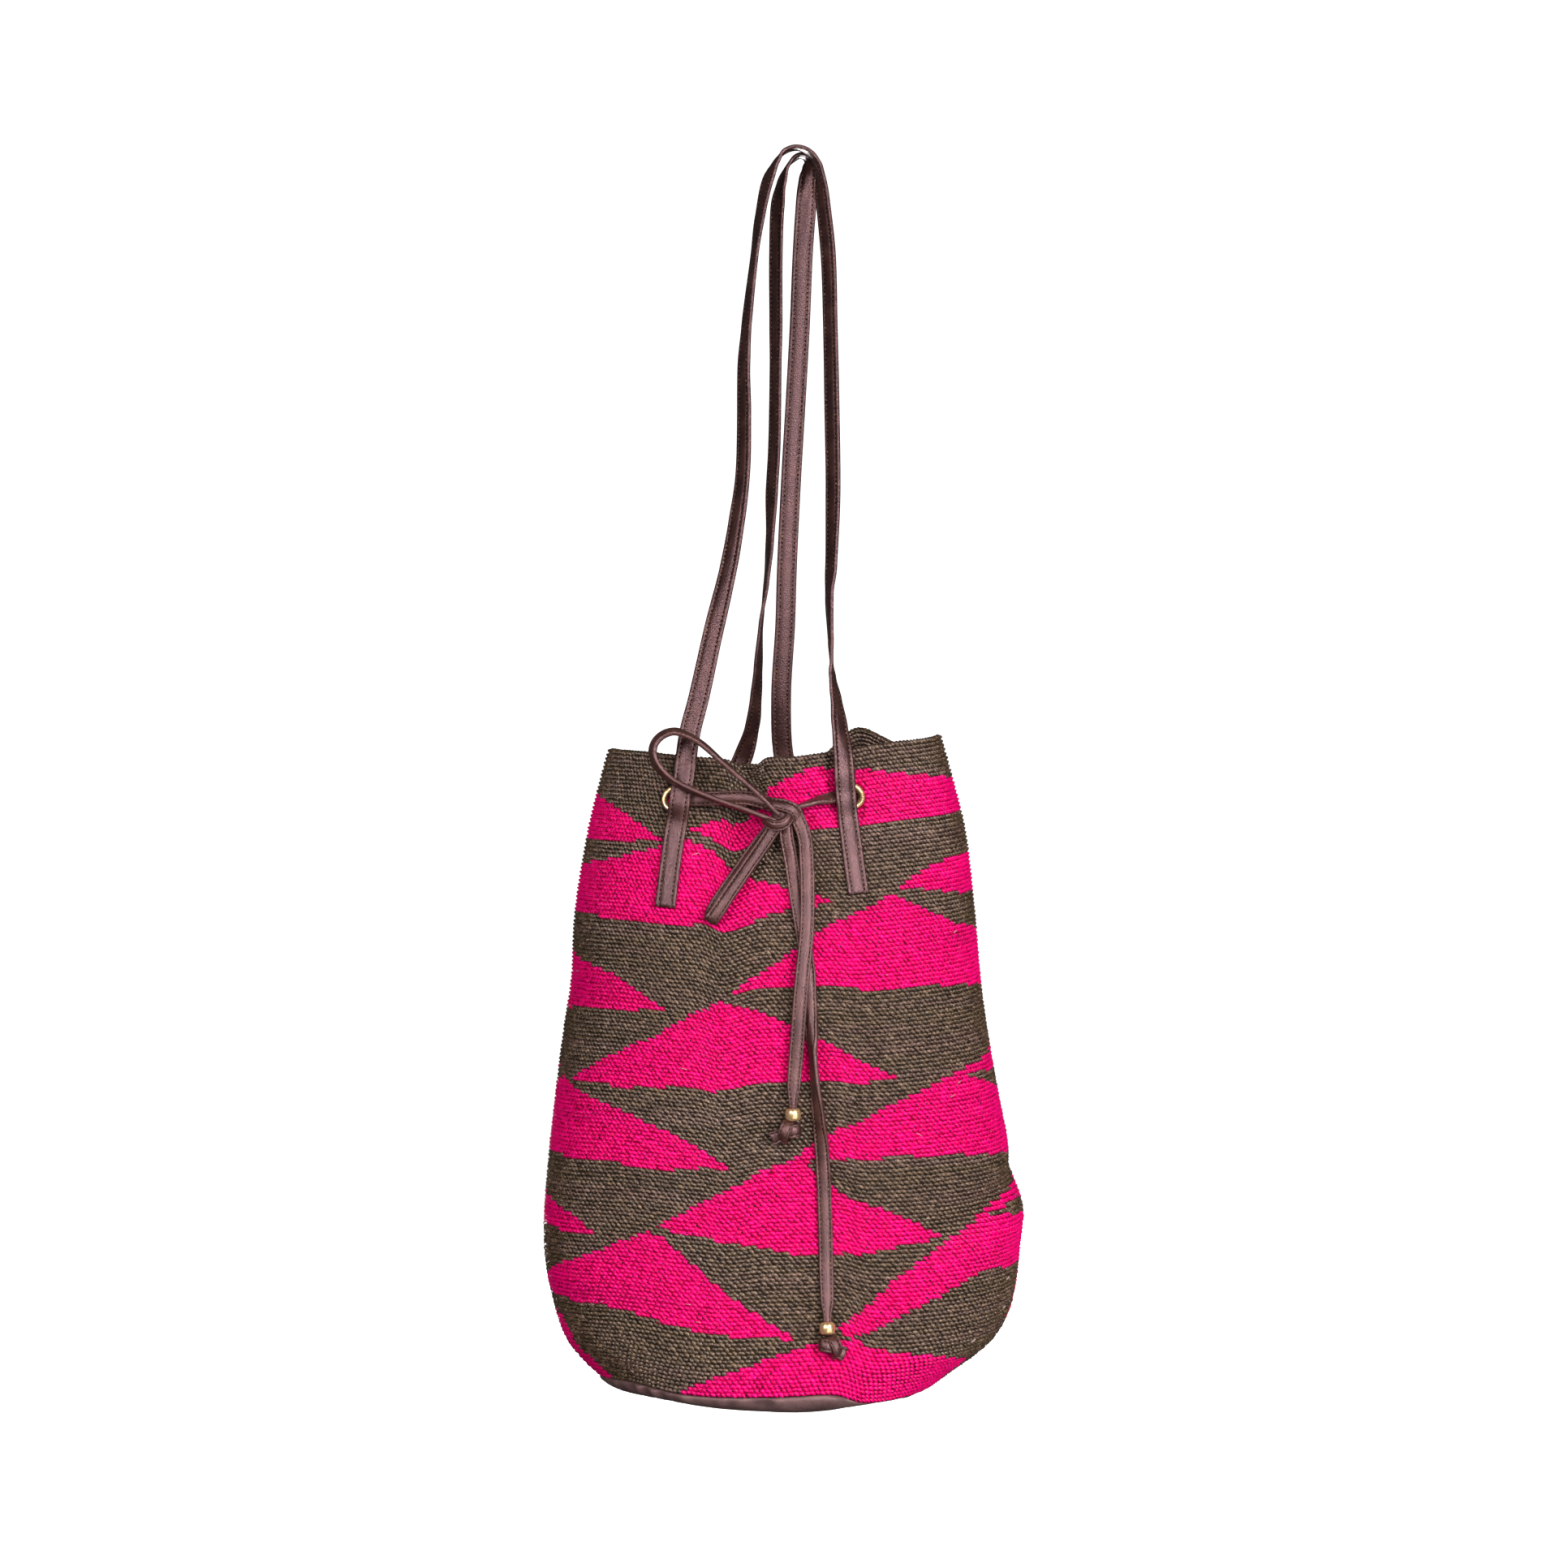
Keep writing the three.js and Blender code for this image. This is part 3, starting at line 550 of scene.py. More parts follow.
def sisal(name, fibres, other, dye_low, dye_high, roughness, gloss):
    """Two tones of one dyed yarn, each as a ramp over its fibres, mixed by the drift in the dye."""
    material, nodes, links, shader = new_material(name)
    fibre = use_group(nodes, SISAL_FIBRE, Depth=0.4)
    one, two = ramp(nodes, fibres), ramp(nodes, other)
    drift = add_node(nodes, "MapRange", From_Min=dye_low, From_Max=dye_high)
    mix = nodes.new("ShaderNodeMix")
    mix.data_type = "RGBA"
    links.new(fibre.outputs["Fibre"], one.inputs["Fac"])
    links.new(fibre.outputs["Fibre"], two.inputs["Fac"])
    links.new(fibre.outputs["Dye"], drift.inputs["Value"])
    links.new(drift.outputs["Result"], mix.inputs["Factor"])
    links.new(one.outputs["Color"], mix.inputs["A"])
    links.new(two.outputs["Color"], mix.inputs["B"])
    links.new(mix.outputs["Result"], shader.inputs["Base Color"])
    links.new(fibre.outputs["Normal"], shader.inputs["Normal"])
    set_inputs(shader, Roughness=roughness, Specular_IOR_Level=gloss, Specular_Tint=ROSE_SHEEN)
    return material


PINK = sisal(
    "sisal_pink",
    [(0.25, (0.36, 0.0, 0.040)), (0.5, (0.67, 0.0, 0.115)), (0.75, (0.88, 0.002, 0.24))],
    [(0.25, (0.32, 0.0, 0.040)), (0.5, (0.60, 0.0, 0.110)), (0.75, (0.82, 0.002, 0.22))],
    0.42, 0.6, 0.3, 0.18)
BROWN = sisal(
    "sisal_brown",
    [(0.25, (0.009, 0.005, 0.003)), (0.5, (0.040, 0.0245, 0.0125)), (0.72, (0.215, 0.135, 0.075))],
    [(0.25, (0.011, 0.006, 0.0045)), (0.5, (0.052, 0.028, 0.019)), (0.72, (0.27, 0.165, 0.115))],
    0.4, 0.62, 0.26, 0.66)
# The grounds are the yarn painted darker: painted shade for the gaps between the stitches and for the inside
# of the wall.
PINK_GAP_SHADE = sisal(
    "sisal_pink_gap_shade", [(0.3, (0.13, 0.0, 0.012)), (0.7, (0.26, 0.0, 0.028))],
    [(0.3, (0.11, 0.0, 0.010)), (0.7, (0.22, 0.0, 0.024))], 0.4, 0.6, 0.8, 0.05)
BROWN_GAP_SHADE = sisal(
    "sisal_brown_gap_shade", [(0.3, (0.006, 0.004, 0.003)), (0.7, (0.014, 0.010, 0.007))],
    [(0.3, (0.006, 0.004, 0.003)), (0.7, (0.015, 0.010, 0.008))], 0.4, 0.6, 0.8, 0.05)
PALE_FIBRE = sisal(
    "sisal_pale_fibre", [(0.3, (0.28, 0.20, 0.17)), (0.7, (0.50, 0.38, 0.34))],
    [(0.3, (0.30, 0.17, 0.18)), (0.7, (0.55, 0.36, 0.38))], 0.4, 0.6, 0.5, 0.3)


# %% Gold plate
def gold_material():
    """Pale gold plate, with a fine grain in its tone and its shine."""
    material, nodes, links, shader = new_material("gold_plate")
    where = nodes.new("ShaderNodeTexCoord")
    grain = add_node(nodes, "TexNoise", Scale=900, Detail=2)
    rough = add_node(nodes, "MapRange", To_Min=0.16, To_Max=0.34)
    tone = ramp(nodes, [(0.35, (0.68, 0.40, 0.18)), (0.65, (0.86, 0.58, 0.32))])
    links.new(where.outputs["Object"], grain.inputs["Vector"])
    links.new(grain.outputs["Fac"], rough.inputs["Value"])
    links.new(grain.outputs["Fac"], tone.inputs["Fac"])
    links.new(rough.outputs["Result"], shader.inputs["Roughness"])
    links.new(tone.outputs["Color"], shader.inputs["Base Color"])
    set_inputs(shader, Metallic=0.78)
    return material


GOLD = gold_material()
print("materials:", len(bpy.data.materials))

# %% [markdown]
# ## Leather strips
# A strap or string is a flat strip through stations. Each station has a place, the way its outer side
# looks and a width. The section has rolled edges and a groove for the stitching near each edge.


# %% Strip tools
def smooth_route(places, steps):
    """Points on a centripetal Catmull-Rom curve through places, steps for each span."""
    p = np.vstack([2 * places[0] - places[1], places, 2 * places[-1] - places[-2]])
    gap = np.sqrt(np.linalg.norm(np.diff(p, axis=0), axis=1))[:, None]
    into = (p[1:-2] - p[:-3]) / gap[:-2] - (p[2:-1] - p[:-3]) / (gap[:-2] + gap[1:-1])
    into = (into + (p[2:-1] - p[1:-2]) / gap[1:-1]) * gap[1:-1]
    away = (p[2:-1] - p[1:-2]) / gap[1:-1] - (p[3:] - p[1:-2]) / (gap[1:-1] + gap[2:])
    away = (away + (p[3:] - p[2:-1]) / gap[2:]) * gap[1:-1]
    t = np.linspace(0, 1, steps, endpoint=False)[None, :, None]
    a, b = p[1:-2, None], p[2:-1, None]
    spans = ((1 + 2 * t) * (1 - t) ** 2 * a + t * (1 - t) ** 2 * into[:, None]
             + t * t * (3 - 2 * t) * b + t * t * (t - 1) * away[:, None])
    return np.vstack([spans.reshape(-1, 3), places[-1:]])


def strip_line(stations, width, step=1.6, fine=12):
    """The strip's middle line at even steps, with the ways along, across and out, and its half width."""
    places = np.array([s[0] for s in stations])
    faces = np.array([s[1] for s in stations])
    widths = np.array([s[2] if len(s) > 2 else width for s in stations], float)
    line = smooth_route(places, fine)
    far = np.concatenate([[0], np.cumsum(np.linalg.norm(np.diff(line, axis=0), axis=1))])
    even = np.linspace(0, far[-1], max(8, int(far[-1] / step)))
    line_even = np.stack([np.interp(even, far, line[:, k]) for k in range(3)], -1)
    where = np.interp(even, far, np.arange(len(line)) / fine)
    at = np.minimum(where.astype(int), len(places) - 2)
    share = smoothstep((where - at)[:, None], 0, 1)
    face = faces[at] * (1 - share) + faces[at + 1] * share
    half = (widths[at] * (1 - share[:, 0]) + widths[at + 1] * share[:, 0]) / 2
    ahead = unit(np.gradient(line_even, axis=0))
    across = unit(np.cross(ahead, face))
    return {"line": line_even, "ahead": ahead, "across": across, "out": np.cross(across, ahead),
            "half": half, "far": even}


def strip_section(seam):
    """Round the strip's outline as shares of its half width and half thickness, grooved along the seams."""
    edge = [
        (1, 0), (0.985, 0.5), (0.94, 0.86), (0.84, 1.06),
        (seam + 0.1, 0.98), (seam, 0.55), (seam - 0.1, 0.94), (seam / 3, 1.1), (0, 1.12),
    ]
    outer = np.array(edge + [(-u, v) for u, v in edge[-2::-1]])
    return np.vstack([outer, outer[1:-1][::-1] * (1, -1)])


STRAP_SEAM, STRING_SEAM = 0.6, 0.62
TEXTURE_HALF = 0.004


def strip_mesh(line, thickness, seam=STRING_SEAM):
    """The strip's skin as (points, faces, uv), closed at both ends."""
    section, half = strip_section(seam), line["half"][:, None, None]
    points = (line["line"][:, None] + line["across"][:, None] * section[None, :, 0:1] * half
              + line["out"][:, None] * section[None, :, 1:2] * thickness / 2)
    rows, count = points.shape[:2]
    poles = line["line"][[0, -1]]
    first, last = np.arange(count), (rows - 1) * count + np.arange(count)
    faces = [grid_faces(rows, count), fan_faces(first, rows * count), fan_faces(last, rows * count + 1, True)]
    along, across = line["far"][:, None] * MM, section[None, :, 0] * TEXTURE_HALF
    uv = np.stack(np.broadcast_arrays(along, across), -1).reshape(-1, 2)
    return np.vstack([points.reshape(-1, 3), poles]), faces, np.vstack([uv, uv[[0, -1]]])


# %% Seams
THREAD_STITCH = bean_template([
    (-0.5, 0, 0.24, 0.05), (-0.25, 0, 0.34, 0.38), (0.25, 0, 0.34, 0.38), (0.5, 0, 0.24, 0.05),
])
DIAMOND_POINTS = np.array([(-0.5, 0, 0), (0, -0.5, 0.02), (0.5, 0, 0), (0, 0.5, 0.02)])
DIAMOND = (DIAMOND_POINTS, np.array([(0, 1, 2), (0, 2, 3)]), np.zeros((4, 2)))
# The needle holes are flat near-black diamonds: painted shade.
THREAD_SIZE, HOLE_SIZE = (1.25, 1.5, 1), (1.5, 1.0, 1)
THREAD_LIFT, HOLE_LIFT, THREAD_UNEVEN = 0.33, 0.16, 0.12


def varied(size, count, spread, ways=1):
    """One size for each of a number of beads, with a random scale near 1, for all ways or each way."""
    return np.tile(size, (count, 1)) * (1 + spread * rng.standard_normal((count, ways)))


def seam_rows(line, thickness, seam, sides, skip, pitch, shift):
    """Places along both seams of the strip, and the ways along, across and out there."""
    far = np.arange(skip, line["far"][-1] - skip, pitch) + shift
    middle, ahead, across, out = (
        np.stack([np.interp(far, line["far"], line[name][:, k]) for k in range(3)], -1)
        for name in ("line", "ahead", "across", "out"))
    half = np.interp(far, line["far"], line["half"])[:, None]
    places, ways, beside, outs = [], [], [], []
    for side in sides:
        for edge in (-1, 1):
            places.append(middle + across * half * seam * edge + out * side * thickness * THREAD_LIFT)
            ways.append(ahead)
            beside.append(across * side)
            outs.append(out * side)
    return [np.concatenate(v) for v in (places, ways, beside, outs)]


def strip_stitches(line, thickness, seam=STRING_SEAM, sides=(1, -1), skip=3.0, pitch=2.5):
    """The thread's stitches along the seams, and painted shade for the needle holes between them."""
    parts = []
    for template, shift, lift, size in (
        (THREAD_STITCH, 0, 0, THREAD_SIZE),
        (DIAMOND, pitch / 2, HOLE_LIFT, HOLE_SIZE),
    ):
        places, ways, beside, outs = seam_rows(line, thickness, seam, sides, skip, pitch, shift)
        scale = varied(size, len(places), THREAD_UNEVEN)
        parts.append(beans(template, places + outs * lift, unit(ways), unit(beside), unit(outs), scale))
    return parts


def make_strip(name, stations, size, material, nodes):
    """A stitched leather strip as one piece, and its middle line."""
    width, thickness, seam = size
    line = strip_line(stations, width)
    points, faces, uv, index = join(strip_mesh(line, thickness, seam), *strip_stitches(line, thickness, seam))
    piece = make_piece(name, points, faces, [material, THREAD, HOLE_SHADE], nodes, index, uv)
    return piece, line


STRAP, STRING = (12, 2, STRAP_SEAM), (8, 2.4, STRING_SEAM)
print("strap and string: width, thickness and seam", STRAP, STRING)

# %% [markdown]
# ## Cords first: the bow's loops and tails
# These hang free from the bow's knot, and each is made with its real length.
# The tails lie on the wall, the short one over the long one, and each ends in a bead and a knot.
# A tail's row is its place beside and below the peg, its height off the wall, its roll and its width.
# The upper loop stands in the air, and its rows are plain places. The lower loop lies on the wall, and
# the last number of its row tells the outer layer, the fold and the layer behind it apart.

# %% Tails
SHORT_TAIL = [
    (-2.5, 370, 8.5, 0, 8), (2.2, 382, 7.4, 0, 8), (3.5, 395, 6.2, 0, 8), (4, 417, 5.5, 0, 8),
    (3.5, 435, 5.5, 0, 8), (1.3, 457, 5.5, 0, 8), (-0.6, 479, 5.2, 0, 8), (-2.2, 501, 4.2, 0, 8),
    (-3.5, 518, 4.6, 0, 7.4), (-3.9, 527, 5.2, 0, 4.4), (-3.9, 533, 5.2, 0, 3.6), (-3.9, 537, 5.2, 0, 3.6),
]
LONG_TAIL = [
    (-8, 376, 6.6, 0, 8), (-7, 384.5, 5, 0, 8), (-4.8, 396, 2.6, 0, 8), (-1.7, 417, 1.8, 0, 8),
    (1.3, 435, 1.8, 0, 8), (4.4, 457, 1.8, 0, 8), (5.2, 475, 2.4, -10, 8), (6.2, 488, 4.1, -40, 8),
    (6.8, 500, 4.8, -75, 8), (7.9, 514, 4.8, -72, 8), (10.2, 536, 4.3, -45, 8), (11.9, 554, 2.8, -15, 8),
    (13.2, 580, 1.8, 0, 8), (14.1, 616, 1.8, 0, 8), (14.5, 633, 3.8, 0, 7.4), (14.6, 642, 5.2, 0, 4.4),
    (14.6, 648, 5.2, 0, 3.6), (14.6, 651.8, 5.2, 0, 3.6),
]


def make_string(name, stations):
    return make_strip(name, stations, STRING, STRING_LEATHER_PAINTED_LIGHT, [name])


def tail_stations(rows):
    return [(*on_wall(FRONT, x, down, lift, roll)[:2], width) for x, down, lift, roll, width in rows]


tail_short, short_line = make_string("tail_short", tail_stations(SHORT_TAIL))
tail_long, long_line = make_string("tail_long", tail_stations(LONG_TAIL))

# %% Loops of the bow
UPPER_LOOP = [
    (-11.2, -81.5, 371), (-19, -81.5, 363), (-26.5, -81, 356), (-42, -79.5, 342.4), (-54.4, -78, 331.5),
    (-62.4, -77.5, 327), (-69, -77, 325.1), (-75.7, -77, 327.3), (-80, -77, 332.2), (-80.6, -77, 338.4),
    (-77.5, -77, 345), (-70, -77.5, 352), (-58.9, -78.5, 357.5), (-42, -80, 364), (-29.2, -81, 368.3),
    (-20, -81.5, 371.8), (-12.6, -81.5, 374.4),
]
UPPER_LEAN = columns("station share", [(0, 0.05), (3, 0.1), (7, 0.42), (10, 0.42), (13, 0.12), (16, 0.05)])
LOWER_LOOP = [
    (-13.5, 377, 8.4, 1), (-20, 387, 7.4, 1), (-29, 400, 7.2, 1), (-38, 413, 7, 1), (-45, 423.5, 6.2, 1),
    (-49, 428.6, 4.2, 0), (-47, 422.6, 2.2, -1), (-40.2, 411.8, 2, -1), (-31.2, 398.8, 2, -1),
    (-23, 387.2, 2.2, -1), (-13.6, 376, 4.2, -1),
]


def upper_stations():
    """The upper loop's stations: its outer side looks away from the loop's middle, and leans forward."""
    places = np.array([(x, y, -down) for x, y, down in UPPER_LOOP], float)
    outward = unit(np.cross((0, 1, 0), np.gradient(places, axis=0)))
    outward *= np.sign(np.sum(outward * (places - places.mean(0)), axis=1).mean())
    lean = np.interp(np.arange(len(places)), UPPER_LEAN["station"], UPPER_LEAN["share"])
    return list(zip(places, unit(outward - lean[:, None] * (0, 1, 0))))


def lower_stations():
    """The lower loop's stations: out over the wall, round a sharp fold, and back behind itself."""
    start = on_wall(FRONT, *LOWER_LOOP[0][:3])[0]
    stations = []
    for x, down, lift, side in LOWER_LOOP:
        place, face, _ = on_wall(FRONT, x, down, lift)
        stations.append((place, face * side if side else unit(place - start)))
    return stations


loop_upper, upper_line = make_string("bow_loop_upper", upper_stations())
loop_lower, lower_line = make_string("bow_loop_lower", lower_stations())
cord_lines = (short_line, long_line, upper_line, lower_line)
print("cord lengths, mm:", [round(float(line["far"][-1])) for line in cord_lines])

# %% [markdown]
# ## Straps and drawstring
# Each strap is sewn to the wall at both ends, passes over an eyelet and the string, and goes up to
# the peg. Its ends are places on the wall with a height off it, and its run is places in the air with
# the way its outer side looks, round the compass and tilted up. The drawstring runs from the bow
# through the eyelets, along the inside of the bag and across its back.

# %% Straps
FRONT_LEFT_END = [
    (-74, 421.5, 1.7), (-71.5, 400, 1.7), (-69, 382, 1.8), (-67.6, 374, 3), (-66.3, 364, 7.8),
    (-64, 350, 8.4),
]
FRONT_RIGHT_END = [
    (32, 414, 1.7), (29.5, 396, 1.7), (27.3, 379, 1.8), (26.4, 372, 3), (25.3, 361, 7.8), (24.6, 350, 8.2),
]
BACK_LEFT_END = [
    (-52, 424, 1.8), (-49.5, 400, 1.8), (-47.5, 381, 1.9), (-46.5, 373.5, 3), (-44, 362, 7.8),
    (-40, 352, 8.6),
]
BACK_RIGHT_END = [
    (6, 422, 1.8), (4, 400, 1.8), (2, 381, 1.9), (1.2, 373.5, 3), (-1, 362, 7.8), (-4.5, 352, 8.6),
]
FRONT_RUN = [
    (-60.9, -62.5, 326, -8), (-56, -58, 306, -14), (-48.3, -51, 270, -22), (-39.8, -44.5, 233, -36),
    (-35.5, -40, 208, -42), (-32, -35.5, 180, -50), (-31.3, -30, 147, -52), (-31.5, -25, 118, -57),
    (-30, -21.3, 94, -65), (-25.5, -14.6, 53, -72), (-22.5, -11, 31, -64), (-17.9, -7.5, 9, -58, 15),
    (-13.4, -6.5, -1, -70, 45), (-9, -6.3, -7, -85, 65), (-2.3, -6.3, -9.4, 0, 88), (4.6, -6.3, -7.6, 90, 62),
    (8.8, -6.5, -2.9, 100, 35), (11.1, -6.8, 3.6, 110, 15), (13.2, -9.4, 21, 126), (16.3, -14.6, 53, 130),
    (17.4, -21.3, 94, 128), (18.2, -29, 142, 130), (18.7, -37, 189, 129), (17.5, -44.5, 233, 118),
    (16.5, -47, 249, 106), (17.2, -51, 273, 97), (17.6, -53.5, 285, 90), (18.1, -55.5, 294, 76),
    (20, -58.5, 306, 62), (22, -62.5, 322, 44), (23.9, -67, 338, 26),
]
BACK_RUN = [
    (-33.6, 68, 339, -160), (-27.5, 62, 319, -132), (-25.4, 58, 302, -120), (-24.1, 54, 285, -110),
    (-22.4, 49.6, 260, -95), (-19.1, 45.5, 235, -82), (-17.1, 41.7, 211, -72), (-15.9, 37, 182, -58),
    (-14.5, 33, 158, -58), (-13.7, 25, 111, -60), (-13.5, 21.3, 87, -55), (-13.5, 14.6, 48, -54),
    (-12.5, 10, 21, -52), (-10.2, 7.4, 8, -65, 15), (-6.9, 6.8, -1.2, -80, 40), (-2.4, 6.8, -6.3, -90, 75),
    (1.6, 7, -7.7, 90, 85), (5, 7.6, -5.5, 100, 50), (6, 8.6, -0.5, 130, 15), (5, 9.8, 6, 152),
    (3.9, 10.8, 20, 180), (2, 15, 48, -168), (0.4, 21.3, 87, -168), (-2.2, 29, 134, -168),
    (-4.5, 35.4, 173, -168), (-7.1, 44.3, 227, -168), (-8.1, 49.6, 260, -168), (-10.5, 57, 302, -172),
    (-9.2, 66, 336, 180),
]


def make_strap(name, side, left_end, run, right_end):
    up = [on_wall(side, *row)[:2] for row in left_end]
    over = [in_air(*row) for row in run]
    down = [on_wall(side, *row)[:2] for row in right_end[::-1]]
    return make_strip(name, up + over + down, STRAP, STRAP_LEATHER, [name])


make_strap("strap_front", FRONT, FRONT_LEFT_END, FRONT_RUN, FRONT_RIGHT_END)
make_strap("strap_back", BACK, BACK_LEFT_END, BACK_RUN, BACK_RIGHT_END)

# %% Drawstring
EYELETS = {
    "eyelet_front_left": (FRONT, -68.9, 362.4),
    "eyelet_front_right": (FRONT, 28.4, 360.6),
    "eyelet_back_right": (BACK, 1, 361),
    "eyelet_back_left": (BACK, -45, 361),
}
BOW_LEFT_RUN = [
    (-13, -75.6, 366.6, 0), (-19, -74.6, 364.2, 0), (-29, -72.5, 361.6, 0), (-45, -69.6, 361.8, -6),
]
BOW_RIGHT_RUN = [
    (16.4, -72.1, 361.8, 8, 52), (13, -73.4, 362.4, 4, 64), (8, -75.8, 363.5, 0, 80),
    (2, -77.6, 365.5, 0, 88), (-5, -78, 367, 0, 88),
]
THREADED = [(9, 3.5, 8), (3.4, 3.4, 6.4), (0.9, 1.2, 6.4), (0, -2, 6.4), (0, -7, 6.4)]
RIGHT_LEAN = 0.6


def eyelet_frame(name):
    """An eyelet's place on the wall, and the ways round, down and out there."""
    angle, share = find_on_wall(*EYELETS[name])
    return wall_point(angle, share), *wall_frame(angle, share)


def threaded(name, way, lean=0.0):
    """Stations of the string on its way in through an eyelet. Its outer end may lean up by a share."""
    centre, around, fall, out = eyelet_frame(name)
    aside = around * way
    faces = [unit(out - fall * lean), out, unit(out - aside), -aside, -aside]
    stations = []
    for (along, lift, width), face in zip(THREADED, faces):
        stations.append((centre + aside * along + out * lift, face, width))
    return stations


from_bow = [in_air(*row) for row in BOW_LEFT_RUN]
left_side = threaded("eyelet_front_left", 1) + threaded("eyelet_back_left", -1)[::-1]
right_side = threaded("eyelet_back_right", 1) + threaded("eyelet_front_right", -1, RIGHT_LEAN)[::-1]
to_bow = [in_air(*row) for row in BOW_RIGHT_RUN]
make_string("drawstring", from_bow + left_side + right_side + to_bow)

# %% [markdown]
# ## The knots
# The bow's knot is a leather core with a band folded over it and a second band wrapped round its
# front. Each tail ends in a small knot: a band round a core, a fold beside it and the flat end of the
# string sticking out below. The gold bead above that knot is an outline turned about the tail.

# %% Bow knot
KNOT = on_wall(FRONT, -9.7, 371, 7.6)[0]
KNOT_CORE = (6.2, 4, 6.6)
BAND_WIDTH, BAND_THICK, BAND_STEP = 7, 2.2, 0.8
STRING_LOOKS = [STRING_LEATHER_PAINTED_LIGHT, THREAD, HOLE_SHADE]
FOLDED_BAND = [
    (-9, 0.5, 6.5, 0, -1, 0.4, 7), (-4, -3.2, 6.2, 0, -1, 0.5, 7), (2, -4.6, 5, 0.2, -1, 0.4, 7.5),
    (6.8, -3.9, 2.5, 0.5, -1, 0.2, 7.5), (9, -2.2, -2.5, 0.3, -1, 0.2, 7.8),
    (10.8, 0.2, -8.5, 0, -1, 0.2, 7.8),
]
WRAPPED_BAND = [
    (-10, 1.5, -1.5, -0.9, -0.4, 0, 5), (-9, -3, -3, -0.7, -0.8, -0.2, 5.5),
    (-5, -6.3, -5.4, -0.2, -1, -0.4, 6), (0, -6.8, -5, 0.2, -1, -0.3, 6),
    (3.6, -5.4, -1.6, 0.7, -0.8, 0, 5.6), (3.5, -2.5, 3.6, 0.6, -0.6, 0.5, 5), (0, 0.5, 5.4, 0, -0.4, 1, 5),
]


def ball(place, half, rows=16, count=28, pole=0.04):
    """A smooth closed ball with given half sizes."""
    down = np.linspace(pole, math.pi - pole, rows)
    polar, turn = np.meshgrid(down, np.arange(count) * 2 * math.pi / count, indexing="ij")
    shape = np.stack([np.sin(polar) * np.sin(turn), -np.sin(polar) * np.cos(turn), np.cos(polar)], -1)
    points = np.vstack([shape.reshape(-1, 3), [(0, 0, 1), (0, 0, -1)]]) * half + place
    first, last = np.arange(count), (rows - 1) * count + np.arange(count)
    faces = [grid_faces(rows, count), fan_faces(first, rows * count), fan_faces(last, rows * count + 1, True)]
    return points, faces, points[:, [0, 2]] * MM


def make_bow_knot():
    """The core, then the two bands: a row is a place from the core's middle, a way to look and a width."""
    parts, threads = [ball(KNOT, np.array(KNOT_CORE))], []
    for rows in (FOLDED_BAND, WRAPPED_BAND):
        stations = [(KNOT + row[:3], unit(np.array(row[3:6], float)), row[6]) for row in rows]
        line = strip_line(stations, BAND_WIDTH, BAND_STEP)
        parts.append(strip_mesh(line, BAND_THICK))
        threads += strip_stitches(line, BAND_THICK, sides=(1,), skip=1.5)
    points, faces, uv, index = join(*parts, *threads)
    kind = np.array([0] * len(parts) + [1, 2] * 2)[index]
    make_piece("bow_knot", points, faces, STRING_LOOKS, ["bow_knot"], kind, uv)


make_bow_knot()

# %% Beads and end knots
TAIL_ENDS = {
    "short": dict(bead=(-3.9, 533, 5.2), knot=(-5, 541.9, 5.4), stub=(-15.6, 546.5, 4.4)),
    "long": dict(bead=(14.6, 648, 5.2), knot=(15.2, 657.3, 5.4), stub=(24, 662, 4.4)),
}
BEAD_OUTLINE = [
    (2.3, -3.2), (3.1, -3.35), (3.75, -2.8), (4.15, -1.7), (4.3, -0.4), (4.28, 0.8), (4, 2.1), (3.5, 2.95),
    (2.9, 3.35), (2.3, 3.2), (2.15, 0),
]
END_CORE, END_STEP = (4, 2.6, 3.4), 0.7
END_WRAP = dict(stations=17, reach=3.9, lift=2.9, slant=0.5, off=0.6, bulge=1.3, width=7.2)


def lathe(outline, place, way, aside, count=40):
    """A closed outline of (radius, height) turned about an axis through a place."""
    other = np.cross(way, aside)
    turn = np.arange(count) * 2 * math.pi / count
    spoke = np.cos(turn)[:, None] * aside + np.sin(turn)[:, None] * other
    rings = [place + spoke * radius + way * height for radius, height in outline]
    faces = grid_faces(len(rings) + 1, count) % (len(rings) * count)
    points = np.concatenate(rings)
    return points, [faces[:, ::-1]], points[:, [0, 2]] * MM


